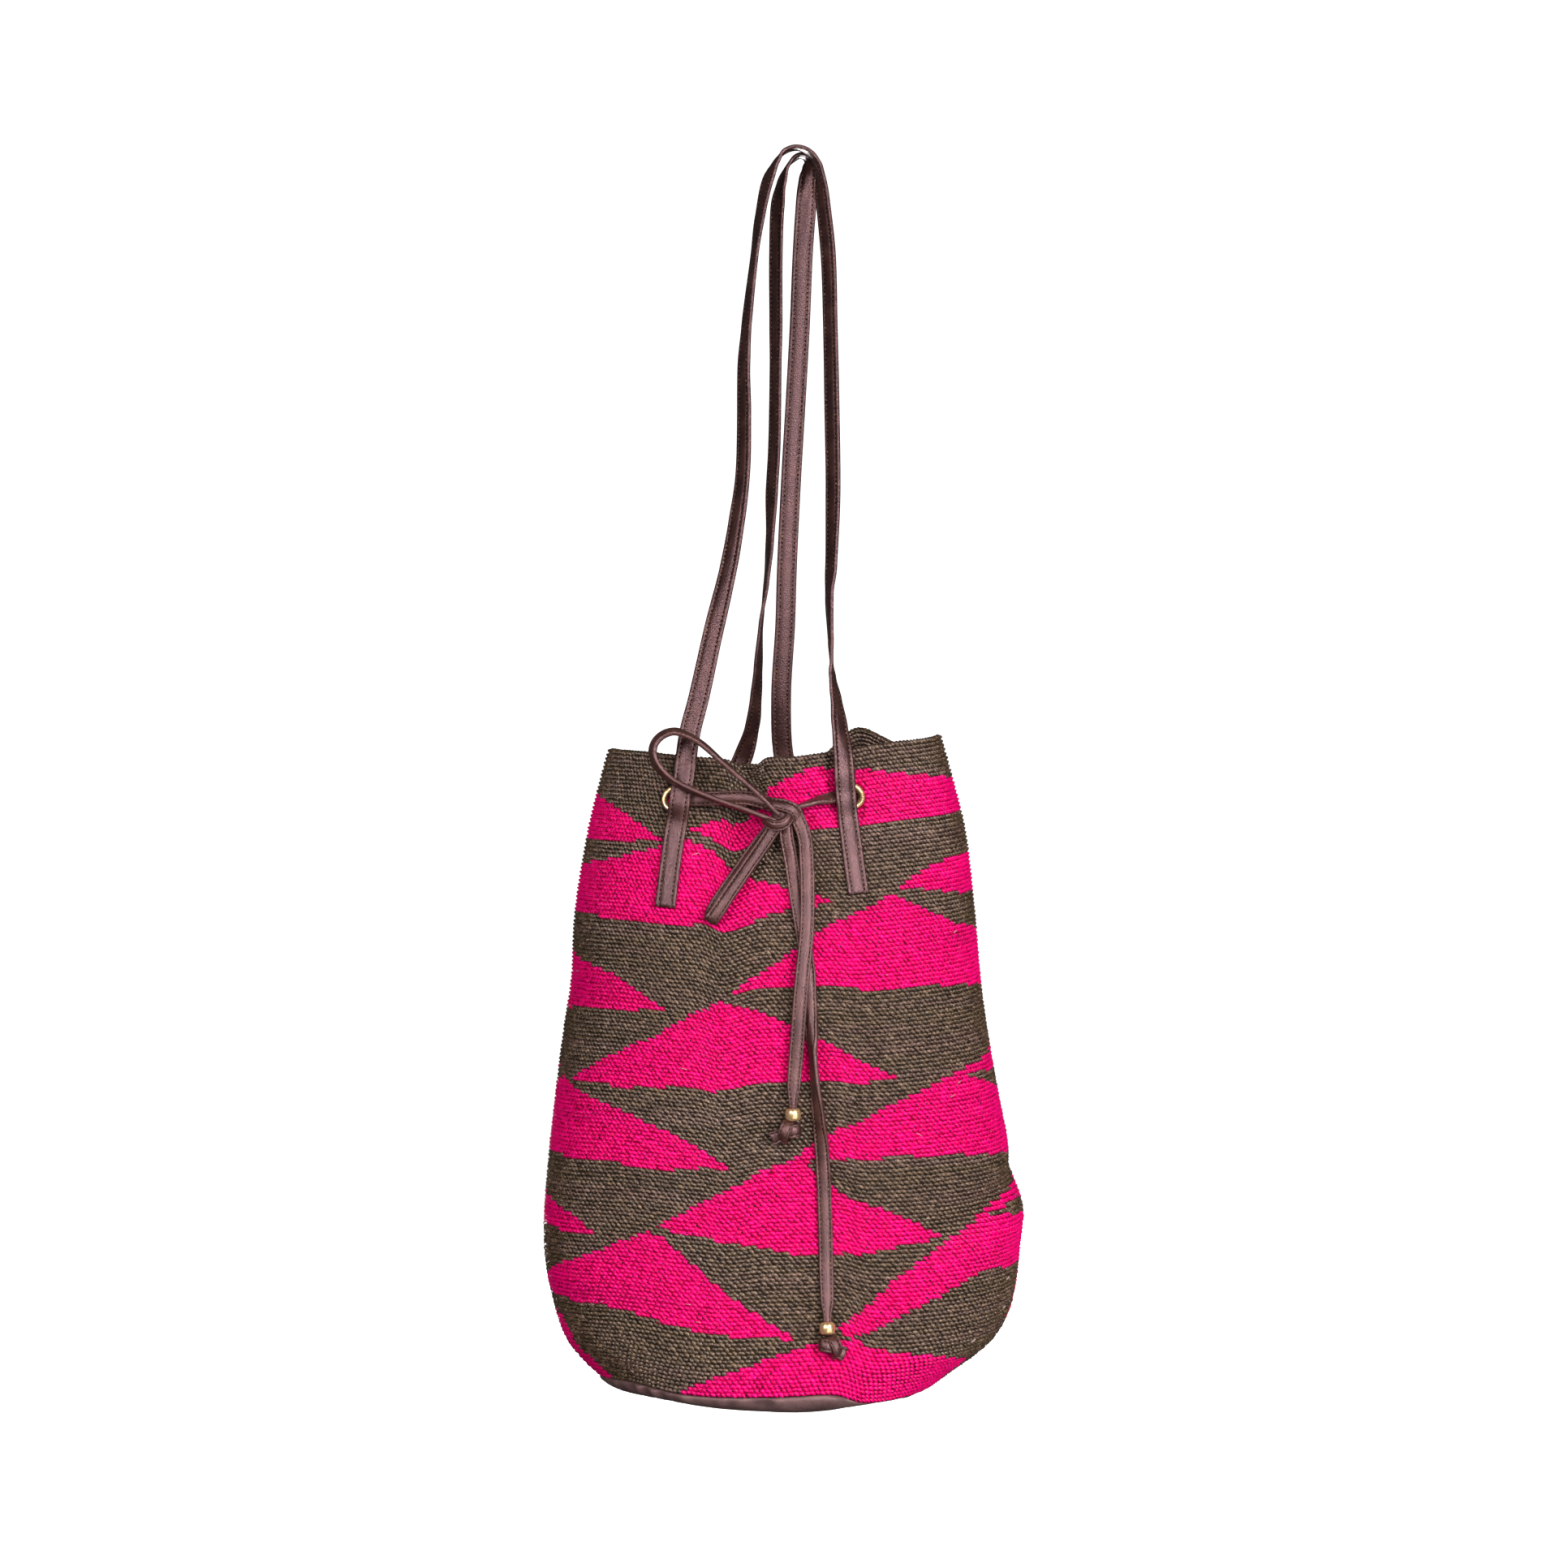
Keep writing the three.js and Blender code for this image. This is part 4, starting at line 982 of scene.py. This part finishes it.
def end_knot(place, face, fall, stub_place):
    """A band wrapped round a core, a fold beside it, and the flat end that sticks out below the fold."""
    across = np.cross(face, fall)
    across = across * math.copysign(1, np.dot(stub_place - place, across))
    wrap = []
    for turn in np.linspace(0, 2 * math.pi, END_WRAP["stations"]):
        beside, ahead = math.cos(turn), math.sin(turn)
        spot = across * (END_WRAP["reach"] * beside - END_WRAP["off"]) + fall * END_WRAP["slant"] * beside
        look = across * beside + face * ahead * END_WRAP["bulge"]
        wrap.append((place + spot + face * END_WRAP["lift"] * ahead, look, END_WRAP["width"]))
    aside = unit(across + fall * 0.5)
    fold = [
        (0.6, -4.6, 0.4, face - fall, 6), (2.2, -3, 3.2, face - fall * 0.4, 6.4),
        (4, 0.6, 3.9, face + aside * 0.5, 6.4), (4.8, 4, 2, face * 0.6 + aside, 6),
        (4, 5.4, -1.4, aside + fall, 5.6),
    ]
    fold = [(place + across * x + fall * y + face * lift, look, wide) for x, y, lift, look, wide in fold]
    way = unit(stub_place - place)
    stub = [
        (place, face, 5), (place + way * 4, face, 6.4),
        (stub_place - way * 3, face, 7.6), (stub_place, face, 8.2),
    ]
    strips = ((wrap, 2), (fold, 2), (stub, 2.2))
    lines = [(strip_line(stations, BAND_WIDTH, END_STEP), thick) for stations, thick in strips]
    skins = [strip_mesh(line, thick) for line, thick in lines]
    threads = [part for line, thick in lines for part in strip_stitches(line, thick, sides=(1,), skip=1)]
    points, faces, uv, index = join(ball(place, np.array(END_CORE)), *skins, *threads)
    return points, faces, uv, np.array([0] * 4 + [1, 2] * 3)[index]


for name, spec in TAIL_ENDS.items():
    place, face, fall = on_wall(FRONT, *spec["bead"])
    points, faces, uv = lathe(BEAD_OUTLINE, place, -fall, face)
    bead = make_piece(f"bead_{name}", points, faces, [GOLD], [f"bead_{name}"], uv=uv)
    place, face, fall = on_wall(FRONT, *spec["knot"])
    points, faces, uv, kind = end_knot(place, face, fall, on_wall(FRONT, *spec["stub"])[0])
    knot = f"end_knot_{name}"
    tied = make_piece(knot, points, faces, STRING_LOOKS, [knot], kind, uv)

print("cords declared:", len(cord_lines))

# %% [markdown]
# ## Eyelets
# A flange with a rolled lip outside, a barrel through the wall, and a clinched flange inside.

# %% Eyelets
EYELET_OUTLINE = [
    (4.9, -4.4), (5.3, -4.75), (6.4, -4.7), (7, -4.3), (6.8, -3.85), (5.9, -3.8), (5.9, 0.3), (6.6, 0.35),
    (7.5, 0.45), (7.65, 0.75), (7.5, 1.15), (7.05, 1.55), (6.4, 1.75), (5.7, 1.68), (5.1, 1.35), (4.75, 0.8),
    (4.7, -0.2),
]
for name in EYELETS:
    centre, around, _, out = eyelet_frame(name)
    points, faces, uv = lathe(EYELET_OUTLINE, centre, out, around, 48)
    make_piece(name, points, faces, [GOLD], [name], uv=uv)

# %% [markdown]
# ## The crocheted wall
# Rows of single crochet climb from the base to the rim. A chart of leaning triangles says which
# stitches are pink. The corners that show are written as pixels of the photo.
# The hidden ones are guesses, written as shares of the way round from the front and of the way down
# from the rim. `from_photo` finds the wall behind a pixel, so that all corners end up as shares.
# Under the stitches lies a skin in darker colours, painted shade for the gaps between the stitches, with
# a hole punched through it in each eyelet. Near-black specks between the pink stitches are painted shade.

# %% Pink patches
PATCHES = {
    "rim, right": (
        [(1178, 1002), (1063, 1016), (998, 1020), (931, 1041), (889, 1041), (848, 1022), (894, 1011),
         (934, 998), (945, 972), (964, 960), (998, 946), (1047, 946), (1108, 952), (1173, 960)],
        [(0.39, 0.12)]),
    "rim, left": (
        [(737, 973), (760, 993), (791, 1016), (814, 1035), (772, 1037), (725, 1031)],
        [(-0.6, 0.13), (-0.35, 0.03)]),
    "second, left": (
        [(760, 1058), (814, 1043), (846, 1035), (894, 1065), (931, 1084), (1001, 1102), (1031, 1111),
         (974, 1120), (921, 1139), (840, 1139), (760, 1130), (712, 1123)],
        [(-0.33, 0.25), (-0.25, 0.19)]),
    "second, right": (
        [(1200, 1099), (1178, 1098), (1106, 1094), (1148, 1065), (1178, 1053), (1192, 1048)],
        [(0.44, 0.13), (0.66, 0.25)]),
    "third, right": (
        [(1209, 1214), (1178, 1211), (1055, 1219), (894, 1231), (948, 1191), (1028, 1137),
         (1100, 1101), (1143, 1122), (1178, 1137), (1204, 1145)],
        [(0.33, 0.38)]),
    "third, left": (
        [(707, 1168), (760, 1202), (825, 1246), (760, 1244), (698, 1239)],
        [(-0.64, 0.38), (-0.37, 0.25)]),
    "fourth, middle": (
        [(887, 1236), (806, 1278), (704, 1329), (772, 1339), (856, 1340), (1037, 1334), (1108, 1329),
         (1037, 1295), (919, 1241)],
        []),
    "fourth, right": (
        [(1221, 1288), (1173, 1323), (1226, 1315)],
        [(0.78, 0.515), (0.5, 0.38)]),
    "fifth, right": (
        [(1232, 1340), (1176, 1321), (1099, 1360), (1031, 1391), (964, 1436), (1099, 1425),
         (1178, 1421), (1240, 1419)],
        [(0.5, 0.64)]),
    "fifth, left": (
        [(695, 1326), (760, 1366), (834, 1400), (902, 1440), (811, 1442), (678, 1414)],
        [(-0.47, 0.64)]),
    "sixth, middle": (
        [(958, 1434), (896, 1467), (806, 1513), (896, 1532), (986, 1548), (1037, 1546), (1099, 1538),
         (1164, 1524), (1099, 1493), (1037, 1470), (992, 1436)],
        []),
    "sixth, left": (
        [(675, 1470), (704, 1496), (735, 1521), (676, 1510)],
        [(-0.6, 0.765), (-0.74, 0.735), (-0.76, 0.7), (-0.47, 0.645)]),
    "sixth, right": (
        [(1250, 1472), (1220, 1496), (1200, 1502), (1225, 1479), (1247, 1456)],
        [(0.26, 0.735)]),
    "seventh, left": (
        [(681, 1589), (755, 1611), (817, 1631), (896, 1647), (978, 1650), (924, 1614), (873, 1575),
         (817, 1524), (797, 1518), (738, 1541), (678, 1565)],
        [(-0.32, 0.86)]),
    "seventh, right": (
        [(1255, 1549), (1207, 1569), (1150, 1600), (1099, 1626), (1048, 1648), (1031, 1640),
         (1099, 1580), (1156, 1535), (1207, 1501), (1257, 1493)],
        [(0.42, 0.85)]),
    "seventh, edge": (
        [(1240, 1628), (1249, 1592), (1255, 1555)],
        [(0.36, 0.92)]),
    "seventh, back": (
        [],
        [(0.54, 0.77), (0.45, 0.895), (0.63, 0.895)]),
    "bottom, middle": (
        [(1168, 1690), (1191, 1673), (1122, 1668), (1060, 1654), (1009, 1653), (941, 1676),
         (879, 1699), (839, 1713)],
        [(-0.09, 1.01), (0.21, 1.01)]),
    "bottom, left": (
        [(693, 1620), (712, 1657), (738, 1682)],
        [(-0.16, 1.01), (-0.5, 1.01), (-0.28, 0.885)]),
    "bottom, back": (
        [],
        [(0.4, 0.93), (0.3, 1.01), (0.5, 1.01)]),
}
print("patches:", len(PATCHES))


# %% From the photo to the chart
def way_round(share, count=721):
    """Angles all the way round at a share of the height, and how far round each one is, from the front."""
    angle = np.linspace(-180, 180, count)
    length = np.linalg.norm(np.diff(wall_point(angle, share), axis=0), axis=1)
    far = np.concatenate([[0], np.cumsum(length)])
    return angle, (far - np.interp(0, angle, far)) / far[-1], far[-1]


def photo_pixel(place):
    """Where a place shows in the photo, in pixels from its top left corner."""
    scale = PHOTO_SIDE * LENS / SENSOR / (place[..., 1] - EYE[1])
    right, up = place[..., 0] - EYE[0], place[..., 2] - EYE[2]
    return PHOTO_SIDE / 2 + np.stack([right, -up], -1) * scale[..., None]


def seen_wall(reach=100, net_columns=401, net_rows=361):
    """A fine net over the part of the wall that the camera sees, with the pixel of each of its points."""
    angle, share = np.meshgrid(np.linspace(-reach, reach, net_columns), np.linspace(0, 1, net_rows))
    place, out = wall_point(angle, share), wall_frame(angle, share)[2]
    seen = np.sum(out * (EYE - place), -1) > 0
    return angle[seen], share[seen], photo_pixel(place[seen])


def from_photo(pixel):
    """The chart's corner at a pixel: the share of the way round, and the share of the way down."""
    nearest = np.argmin(np.linalg.norm(net_pixel - pixel, axis=1))
    angle, far, _ = way_round(net_share[nearest])
    return np.interp(net_angle[nearest], angle, far), net_share[nearest]


net_angle, net_share, net_pixel = seen_wall()
CHART = [[from_photo(pixel) for pixel in seen] + hidden for seen, hidden in PATCHES.values()]
print("corners in the chart:", sum(len(patch) for patch in CHART))

# %% Where the stitches are
ROUND, ROWS, ROW_SHIFT = 222, 154, 0.13


def in_patch(turn, share, patch):
    """Whether points lie inside a patch, by how many of its sides a line to the right crosses."""
    inside = np.zeros(turn.shape, bool)
    for (x0, y0), (x1, y1) in zip(patch, patch[1:] + patch[:1]):
        if y0 != y1:
            crosses = (y0 > share) != (y1 > share)
            inside ^= crosses & (turn < x0 + (share - y0) / (y1 - y0) * (x1 - x0))
    return inside


def is_pink(turn, share):
    """Whether the chart has pink at a share of the way round and of the height."""
    turn, share = np.broadcast_arrays(turn - np.floor(turn + 0.5), share)
    pink = np.zeros(turn.shape, bool)
    for patch in CHART:
        for lap in (-1, 0, 1):
            pink |= in_patch(turn + lap, share, patch)
    return pink


def row_places(share, offset):
    """The angles and turns of the stitches of one row, and the girth of the wall there."""
    angle, far, girth = way_round(share)
    turn = (np.arange(ROUND) + offset) / ROUND
    turn = np.sort(far[0] + (turn - far[0]) % 1)
    return np.interp(turn, far, angle), turn, girth


def stitch_rows():
    """The angle, turn, share and girth of every stitch: each row starts a little further round."""
    angles, turns, shares, girths = [], [], [], []
    for row in range(ROWS):
        share = (row + 0.5) / ROWS
        angle, turn, girth = row_places(share, 0.5 * (row % 2) + ROW_SHIFT * row)
        angles.append(angle)
        turns.append(turn)
        shares.append(np.full(ROUND, share))
        girths.append(np.full(ROUND, girth))
    return tuple(np.concatenate(v) for v in (angles, turns, shares, girths))


stitch_angle, stitch_turn, stitch_share, stitch_girth = stitch_rows()
stitch_pink = is_pink(stitch_turn, stitch_share)
print("stitches:", len(stitch_angle), "pink:", int(stitch_pink.sum()))

# %% Stitches
STITCH = bean_template([
    (-0.47, 0.13, 0.23, 0.3), (-0.18, 0.17, 0.35, 0.86), (0.16, 0, 0.36, 0.9), (0.48, -0.27, 0.23, 0.33),
])
RIM_STITCH = bean_template([
    (-0.5, 0.1, 0.42, 0.25), (-0.2, 0.06, 0.5, 0.6), (0.2, -0.06, 0.5, 0.6), (0.5, -0.1, 0.42, 0.25),
])
STITCH_OVERLAP, STITCH_HIGH, UNEVEN = 1.12, 1.25, 0.09
LEAN, SHIFT_ROUND, SHIFT_DOWN, SHIFT_OUT = 0.12, 0.16, 0.1, 0.06
EYELET_CLEAR = 8.8
PIECE_TRIANGLES = 180000


def off_eyelets(place):
    """Whether places on the wall are clear of the eyelets."""
    clear = np.ones(len(place), bool)
    for name in EYELETS:
        clear &= np.linalg.norm(place - eyelet_frame(name)[0], axis=1) > EYELET_CLEAR
    return clear


def make_stitches():
    """Every stitch of the outside, a little uneven, as a few pieces of each dye."""
    place = wall_point(stitch_angle, stitch_share)
    around, fall, out = wall_frame(stitch_angle, stitch_share)
    count, half = len(place), 0.5 / ROWS
    row = wall_point(stitch_angle, stitch_share + half) - wall_point(stitch_angle, stitch_share - half)
    tall = np.linalg.norm(row, axis=1) * STITCH_OVERLAP
    size = np.stack([stitch_girth / ROUND, tall, np.full(count, STITCH_HIGH)], -1)
    size *= 1 + UNEVEN * rng.standard_normal((count, 3))
    for way, shift in ((around, SHIFT_ROUND), (fall, SHIFT_DOWN), (out, SHIFT_OUT)):
        place = place + way * rng.normal(0, shift, (count, 1))
    lean = rng.normal(0, LEAN, (count, 1))
    along, up = around + fall * lean, -fall + around * lean
    clear = off_eyelets(place)
    for colour, material, wanted in (("pink", PINK, stitch_pink), ("brown", BROWN, ~stitch_pink)):
        chosen = np.flatnonzero(wanted & clear)
        pieces = math.ceil(len(chosen) * len(STITCH[1]) / PIECE_TRIANGLES)
        for number, part in enumerate(np.array_split(chosen, pieces)):
            points, faces, uv = beans(STITCH, place[part], along[part], up[part], out[part], size[part])
            make_piece(f"stitches_{colour}_{number + 1}", points, faces, [material], uv=uv)


make_stitches()


# %% Rim, inside stitches, loose fibres and specks
INSIDE_ROWS, INSIDE_SIZE = 16, (3.1, 2.5, 1.25)
RIM_OVERLAP, RIM_TALL, RIM_HIGH, RIM_UNEVEN, RIM_START = 1.1, 3, 1.5, 0.1, 0.2
FIBRE_THIN, FIBRE_HIGH, FIBRE_LIFT, FIBRE_LEAN = 0.4, 0.8, 0.7, 0.6
SPECK_SIZE, SPECK_LIFT, SPECK_UNEVEN = (1.05, 0.8, 1), 0.55, 0.25


def clear_stitches(wanted):
    """The numbers of the wanted stitches that are clear of the eyelets."""
    chosen = np.flatnonzero(wanted)
    return chosen[off_eyelets(wall_point(stitch_angle[chosen], stitch_share[chosen]))]


def at_stitches(chosen):
    """The angles and shares of some of the stitches, and the ways round, down and out there."""
    angle, share = stitch_angle[chosen], stitch_share[chosen]
    return angle, share, *wall_frame(angle, share)


def make_rim():
    """One row of stitches over the rim, and rows of stitches inside the mouth, where they can be seen."""
    angle, _, girth = row_places(0, RIM_START)
    around, fall, out = wall_frame(angle, 0)
    size = varied([girth / ROUND * RIM_OVERLAP, RIM_TALL, RIM_HIGH], ROUND, RIM_UNEVEN, 3)
    parts = [beans(RIM_STITCH, wall_point(angle, 0) - out * WALL / 2, around, out, -fall, size)]
    near_rim = stitch_share < INSIDE_ROWS / ROWS
    for dyed in (~stitch_pink, stitch_pink):
        chosen = clear_stitches(near_rim & dyed)
        angle, share, around, fall, out = at_stitches(chosen)
        size = varied(INSIDE_SIZE, len(chosen), UNEVEN, 3)
        parts.append(beans(STITCH, off_wall(angle, share, -WALL), -around, -fall, -out, size))
    points, faces, uv, index = join(*parts)
    make_piece("stitches_rim", points, faces, [BROWN, PINK], material_index=index == 2, uv=uv)


def make_fibres(count=70, shortest=1.5, longest=3.6):
    """Loose pale fibres that stand off the stitches here and there."""
    chosen = rng.choice(len(stitch_angle), count, replace=False)
    angle, share, around, fall, out = at_stitches(chosen)
    lean = rng.uniform(-FIBRE_LEAN, FIBRE_LEAN, (count, 1))
    length = rng.uniform(shortest, longest, count)
    size = np.stack([length, np.full(count, FIBRE_THIN), np.full(count, FIBRE_HIGH)], -1)
    place, along, up = off_wall(angle, share, FIBRE_LIFT), around + fall * lean, around * lean - fall
    points, faces, uv = beans(STITCH, place, along, up, out, size)
    make_piece("loose_fibres", points, faces, [PALE_FIBRE], uv=uv)


def make_specks(part=0.65):
    """Near-black specks in the dimples between the pink stitches: painted shade for the pinholes there."""
    chosen = clear_stitches(stitch_pink & (rng.random(len(stitch_pink)) < part))
    angle, share, around, fall, out = at_stitches(chosen)
    place = off_wall(angle, share, SPECK_LIFT) + around * stitch_girth[chosen, None] / ROUND / 2
    size = varied(SPECK_SIZE, len(chosen), SPECK_UNEVEN)
    points, faces, uv = beans(DIAMOND, place, around, -fall, out, size)
    make_piece("pinhole_shade_specks", points, faces, [BROWN_GAP_SHADE], uv=uv)


make_rim()
make_fibres()
make_specks()


# %% The ground under the stitches, painted in shade
GROUND_DEPTH, INNER_STEP, TEXTURE_STEP = 0.25, 4, 0.7


def make_shell():
    """The wall's outer skin row by row down to the seam, and a coarser inner skin back up to the rim."""
    down = [(row, GROUND_DEPTH, 0.5) for row in range(ROWS + 1)]
    up = [(row, WALL, -INNER_STEP / 2) for row in (*range(ROWS, 0, -INNER_STEP), 0)]
    rings, pink = [], []
    for row, depth, half_step in down + up:
        angle, far, _ = way_round(row / ROWS)
        turns = far[0] + np.arange(ROUND) / ROUND
        rings.append(off_wall(np.interp(turns, far, angle), row / ROWS, -depth))
        pink.append(is_pink(turns + 0.5 / ROUND, (row + half_step) / ROWS))
    faces = grid_faces(len(rings) + 1, ROUND) % (len(rings) * ROUND)
    uv = np.stack(np.meshgrid(np.arange(ROUND), np.arange(len(rings))), -1).reshape(-1, 2) * TEXTURE_STEP
    # Both skins take the grounds' darker colours, as painted shade.
    return make_piece(
        "bag_body", np.concatenate(rings), [faces], [BROWN_GAP_SHADE, PINK_GAP_SHADE], ["bag_body"],
        np.concatenate(pink), uv)


def punch(piece, radius=5.4, reach=6.0):
    """Cut a round hole through the wall inside each eyelet's barrel."""
    mesh = bpy.data.meshes.new("punches")
    shape = bmesh.new()
    for name in EYELETS:
        centre, _, _, out = eyelet_frame(name)
        place = Matrix.Translation(centre * MM) @ Vector(out).to_track_quat("Z", "Y").to_matrix().to_4x4()
        bmesh.ops.create_cone(
            shape, cap_ends=True, segments=40, radius1=radius * MM, radius2=radius * MM,
            depth=2 * reach * MM, matrix=place)
    shape.to_mesh(mesh)
    shape.free()
    punches = bpy.data.objects.new("punches", mesh)
    bpy.context.scene.collection.objects.link(punches)
    cut = piece.modifiers.new("eyelet_holes", "BOOLEAN")
    cut.operation = "DIFFERENCE"
    cut.object = punches
    whole = piece.data
    piece.data = bpy.data.meshes.new_from_object(piece.evaluated_get(bpy.context.evaluated_depsgraph_get()))
    piece.modifiers.remove(cut)
    print("bag_body punched:", len(whole.polygons), "faces, now", len(piece.data.polygons))
    bpy.data.objects.remove(punches)
    bpy.data.meshes.remove(whole)


punch(make_shell())

# %% [markdown]
# ## The leather base
# The base is a dish with an upturned edge. The leather puckers along the seam, and the middle sags.
# Puckers and lifts are bumps round the edge: an angle, a spread and a height. A ripple is a height, a
# number of waves and a shift. A lip's row is its share of the way down from the seam, how far in it is,
# and how much of the puckers it takes. The flat rings have their share of the way out, and their sag.


# %% Base
PUCKERS = [
    (-53, 2.6, 1.0), (-48.5, 1.5, -1.5), (-45.5, 1.5, 1.5), (-42.5, 1.3, -1.7), (-39.5, 1.6, 1.4),
    (-36.5, 1.4, -1.3), (-33, 2.6, 1.0), (-20, 5, 0.5), (-4, 4, -0.7), (6, 5, 0.5), (17, 4, 0.9),
    (23, 2.2, -1.5), (27, 2.6, 0.8), (100, 5, 0.8), (150, 4, -0.8), (-110, 4, 0.8), (-160, 5, -0.7),
]
LIFTS = [(-45, 22, 2.2), (10, 12, -0.9), (37, 8, 2)]
RIPPLES = [(0.35, 23, 0), (0.45, 37, 40), (0.3, 61, 0)]
LIP = [(0.12, -0.3, 0.4), (0.3, 0.3, 1), (0.5, 1.3, 1), (0.68, 2.9, 0.8), (0.84, 5.2, 0.5), (1, 9, 0.2)]
PUCKER_DEPTH = 0.8
TUCK_DOWN, TUCK_IN = 0.4, 0.4
INSIDE_RINGS = [(0.02, -0.7), (0.5, -0.7)]
FLOOR_EDGE_IN, FLOOR_EDGE_SAG = 10.2, -2.2
OUTSIDE_RINGS = [(0.75, 0.9), (0.4, 1.5), (0.02, 1.6)]


def bumps(angle, rows):
    """The sum of smooth bumps, each with the angle of its top, its spread and its height."""
    return sum(height * np.exp(-((angle - at) / spread) ** 2) for at, spread, height in rows)


def make_base(count=400):
    """Rings from the middle of the inside, up to the seam, down the lip and to the middle of the outside."""
    angle = -180 + 360 * np.arange(count) / count
    edge, seam, seam_fall = wall_point(angle, 1), seam_down(angle), wall_frame(angle, 1)[1]
    hub = np.array([through(SECTIONS, "down", "middle", np.float64(BASE_DOWN)), 0, 0])
    spoke = (edge - hub) * (1, 1, 0)
    reach = np.linalg.norm(spoke, axis=1, keepdims=True)
    pucker = bumps(angle, PUCKERS)
    for push, waves, shift in RIPPLES:
        pucker = pucker + push * np.sin(np.radians(angle * waves + shift))
    lowest = BASE_DOWN - bumps(angle, LIFTS)

    def inset_ring(inset, down):
        return hub + spoke * (1 - inset / reach) - np.stack([0 * down, 0 * down, down], -1)

    def flat_ring(share, sag):
        return hub + spoke * share - np.array([0, 0, BASE_DOWN + sag])

    rings = [flat_ring(*row) for row in INSIDE_RINGS]
    rings.append(inset_ring(FLOOR_EDGE_IN, np.full(count, BASE_DOWN + FLOOR_EDGE_SAG)))
    rings += [off_wall(angle, 1, -depth) + seam_fall * TUCK_DOWN for depth in (WALL, TUCK_IN)]
    for share, inset, weight in LIP:
        down = seam + (lowest - seam) * share
        rings.append(inset_ring(inset - weight * pucker[:, None] * PUCKER_DEPTH, down))
    rings += [flat_ring(*row) for row in OUTSIDE_RINGS]
    points = np.concatenate(rings + [rings[0].mean(0, keepdims=True), rings[-1].mean(0, keepdims=True)])
    first, last, pole = np.arange(count), (len(rings) - 1) * count + np.arange(count), len(rings) * count
    faces = [grid_faces(len(rings), count), fan_faces(first, pole), fan_faces(last, pole + 1, True)]
    make_piece("base", points, faces, [BASE_LEATHER], ["base"], uv=points[:, :2] * MM)


make_base()

# %% [markdown]
# ## Studio
# A pale floor curves up into a white wall all round. It is clear from below, so that the base can be
# looked at from there, and it is for the camera only, so that it doesn't wash out the leather. There is
# a soft box on each side of the camera, a weaker one above it, a low one that lights the underside, and
# one straight behind that lights the back. Lengths here are metres from the peg.

# %% Studio
FLOOR_HEIGHT, FLOOR_REACH, COVE, WALL_TOP, SPOKES = -0.95, 3.4, 0.9, 12, 72
WHITE, PALE = (1, 1, 1, 1), (0.9, 0.9, 0.9, 1)
BAG = (0, 0, -0.45)
LIGHTS = {
    "right": ((1.21, -1.86, 0.15), BAG, (0.9, 1.4), 62),
    "left": ((-1.24, -1.77, 0.34), BAG, (0.48, 0.75), 34),
    "front": ((0, -2.6, 0.3), BAG, (1.2, 1.0), 22),
    "low": ((0.6, -1.0, -0.93), (0, 0, -0.6), (1.5, 0.9), 7.5),
    "back": ((-0.25, 2.4, -0.68), (0, 0, -0.5), (1.2, 0.5), 62),
}
WORLD_LIGHT = 0.06


def floor_material():
    """White from above, and clear from below."""
    material, nodes, links, shader = new_material("pale_floor")
    set_inputs(shader, Base_Color=PALE, Roughness=0.9, Emission_Color=WHITE, Emission_Strength=1)
    mix, clear = nodes.new("ShaderNodeMixShader"), nodes.new("ShaderNodeBsdfTransparent")
    links.new(nodes.new("ShaderNodeNewGeometry").outputs["Backfacing"], mix.inputs[0])
    links.new(shader.outputs[0], mix.inputs[1])
    links.new(clear.outputs[0], mix.inputs[2])
    links.new(mix.outputs[0], nodes["Material Output"].inputs["Surface"])
    return material


def make_floor():
    """A round floor that curves up into a wall."""
    outline = [(0.05, 0)]
    for turn in np.linspace(0, math.pi / 2, 12):
        outline.append((FLOOR_REACH + COVE * math.sin(turn), COVE * (1 - math.cos(turn))))
    outline.append((FLOOR_REACH + COVE, WALL_TOP))
    around = np.arange(SPOKES) * 2 * math.pi / SPOKES
    points = [(r * math.cos(a), r * math.sin(a), h + FLOOR_HEIGHT) for r, h in outline for a in around]
    points.append((0, 0, FLOOR_HEIGHT))
    mesh = bpy.data.meshes.new("floor")
    hub = fan_faces(np.arange(SPOKES), len(points) - 1)
    mesh.from_pydata(points, [], grid_faces(len(outline), SPOKES).tolist() + hub.tolist())
    mesh.polygons.foreach_set("use_smooth", np.ones(len(mesh.polygons), bool))
    mesh.materials.append(floor_material())
    floor = bpy.data.objects.new("floor", mesh)
    bpy.context.scene.collection.objects.link(floor)
    floor.visible_diffuse = floor.visible_glossy = floor.visible_shadow = False


def add_light(name, place, aim, size, power):
    light = bpy.data.objects.new(name, bpy.data.lights.new(name, "AREA"))
    light.data.shape = "RECTANGLE"
    light.data.size, light.data.size_y = size
    light.data.energy = power
    light.location = place
    way = np.array(aim) - np.array(place)
    tilt, turn = math.acos(-way[2] / np.linalg.norm(way)), math.atan2(way[1], way[0]) - math.pi / 2
    light.rotation_euler = (tilt, 0, turn)
    light.visible_camera = False
    bpy.context.scene.collection.objects.link(light)


make_floor()
for name, spec in LIGHTS.items():
    add_light(name, *spec)
world = bpy.data.worlds.new("studio")
world.use_nodes = True
set_inputs(world.node_tree.nodes["Background"], Color=WHITE, Strength=WORLD_LIGHT)
bpy.context.scene.world = world
bpy.context.scene.view_settings.view_transform = "Standard"
print("lights:", len(LIGHTS))
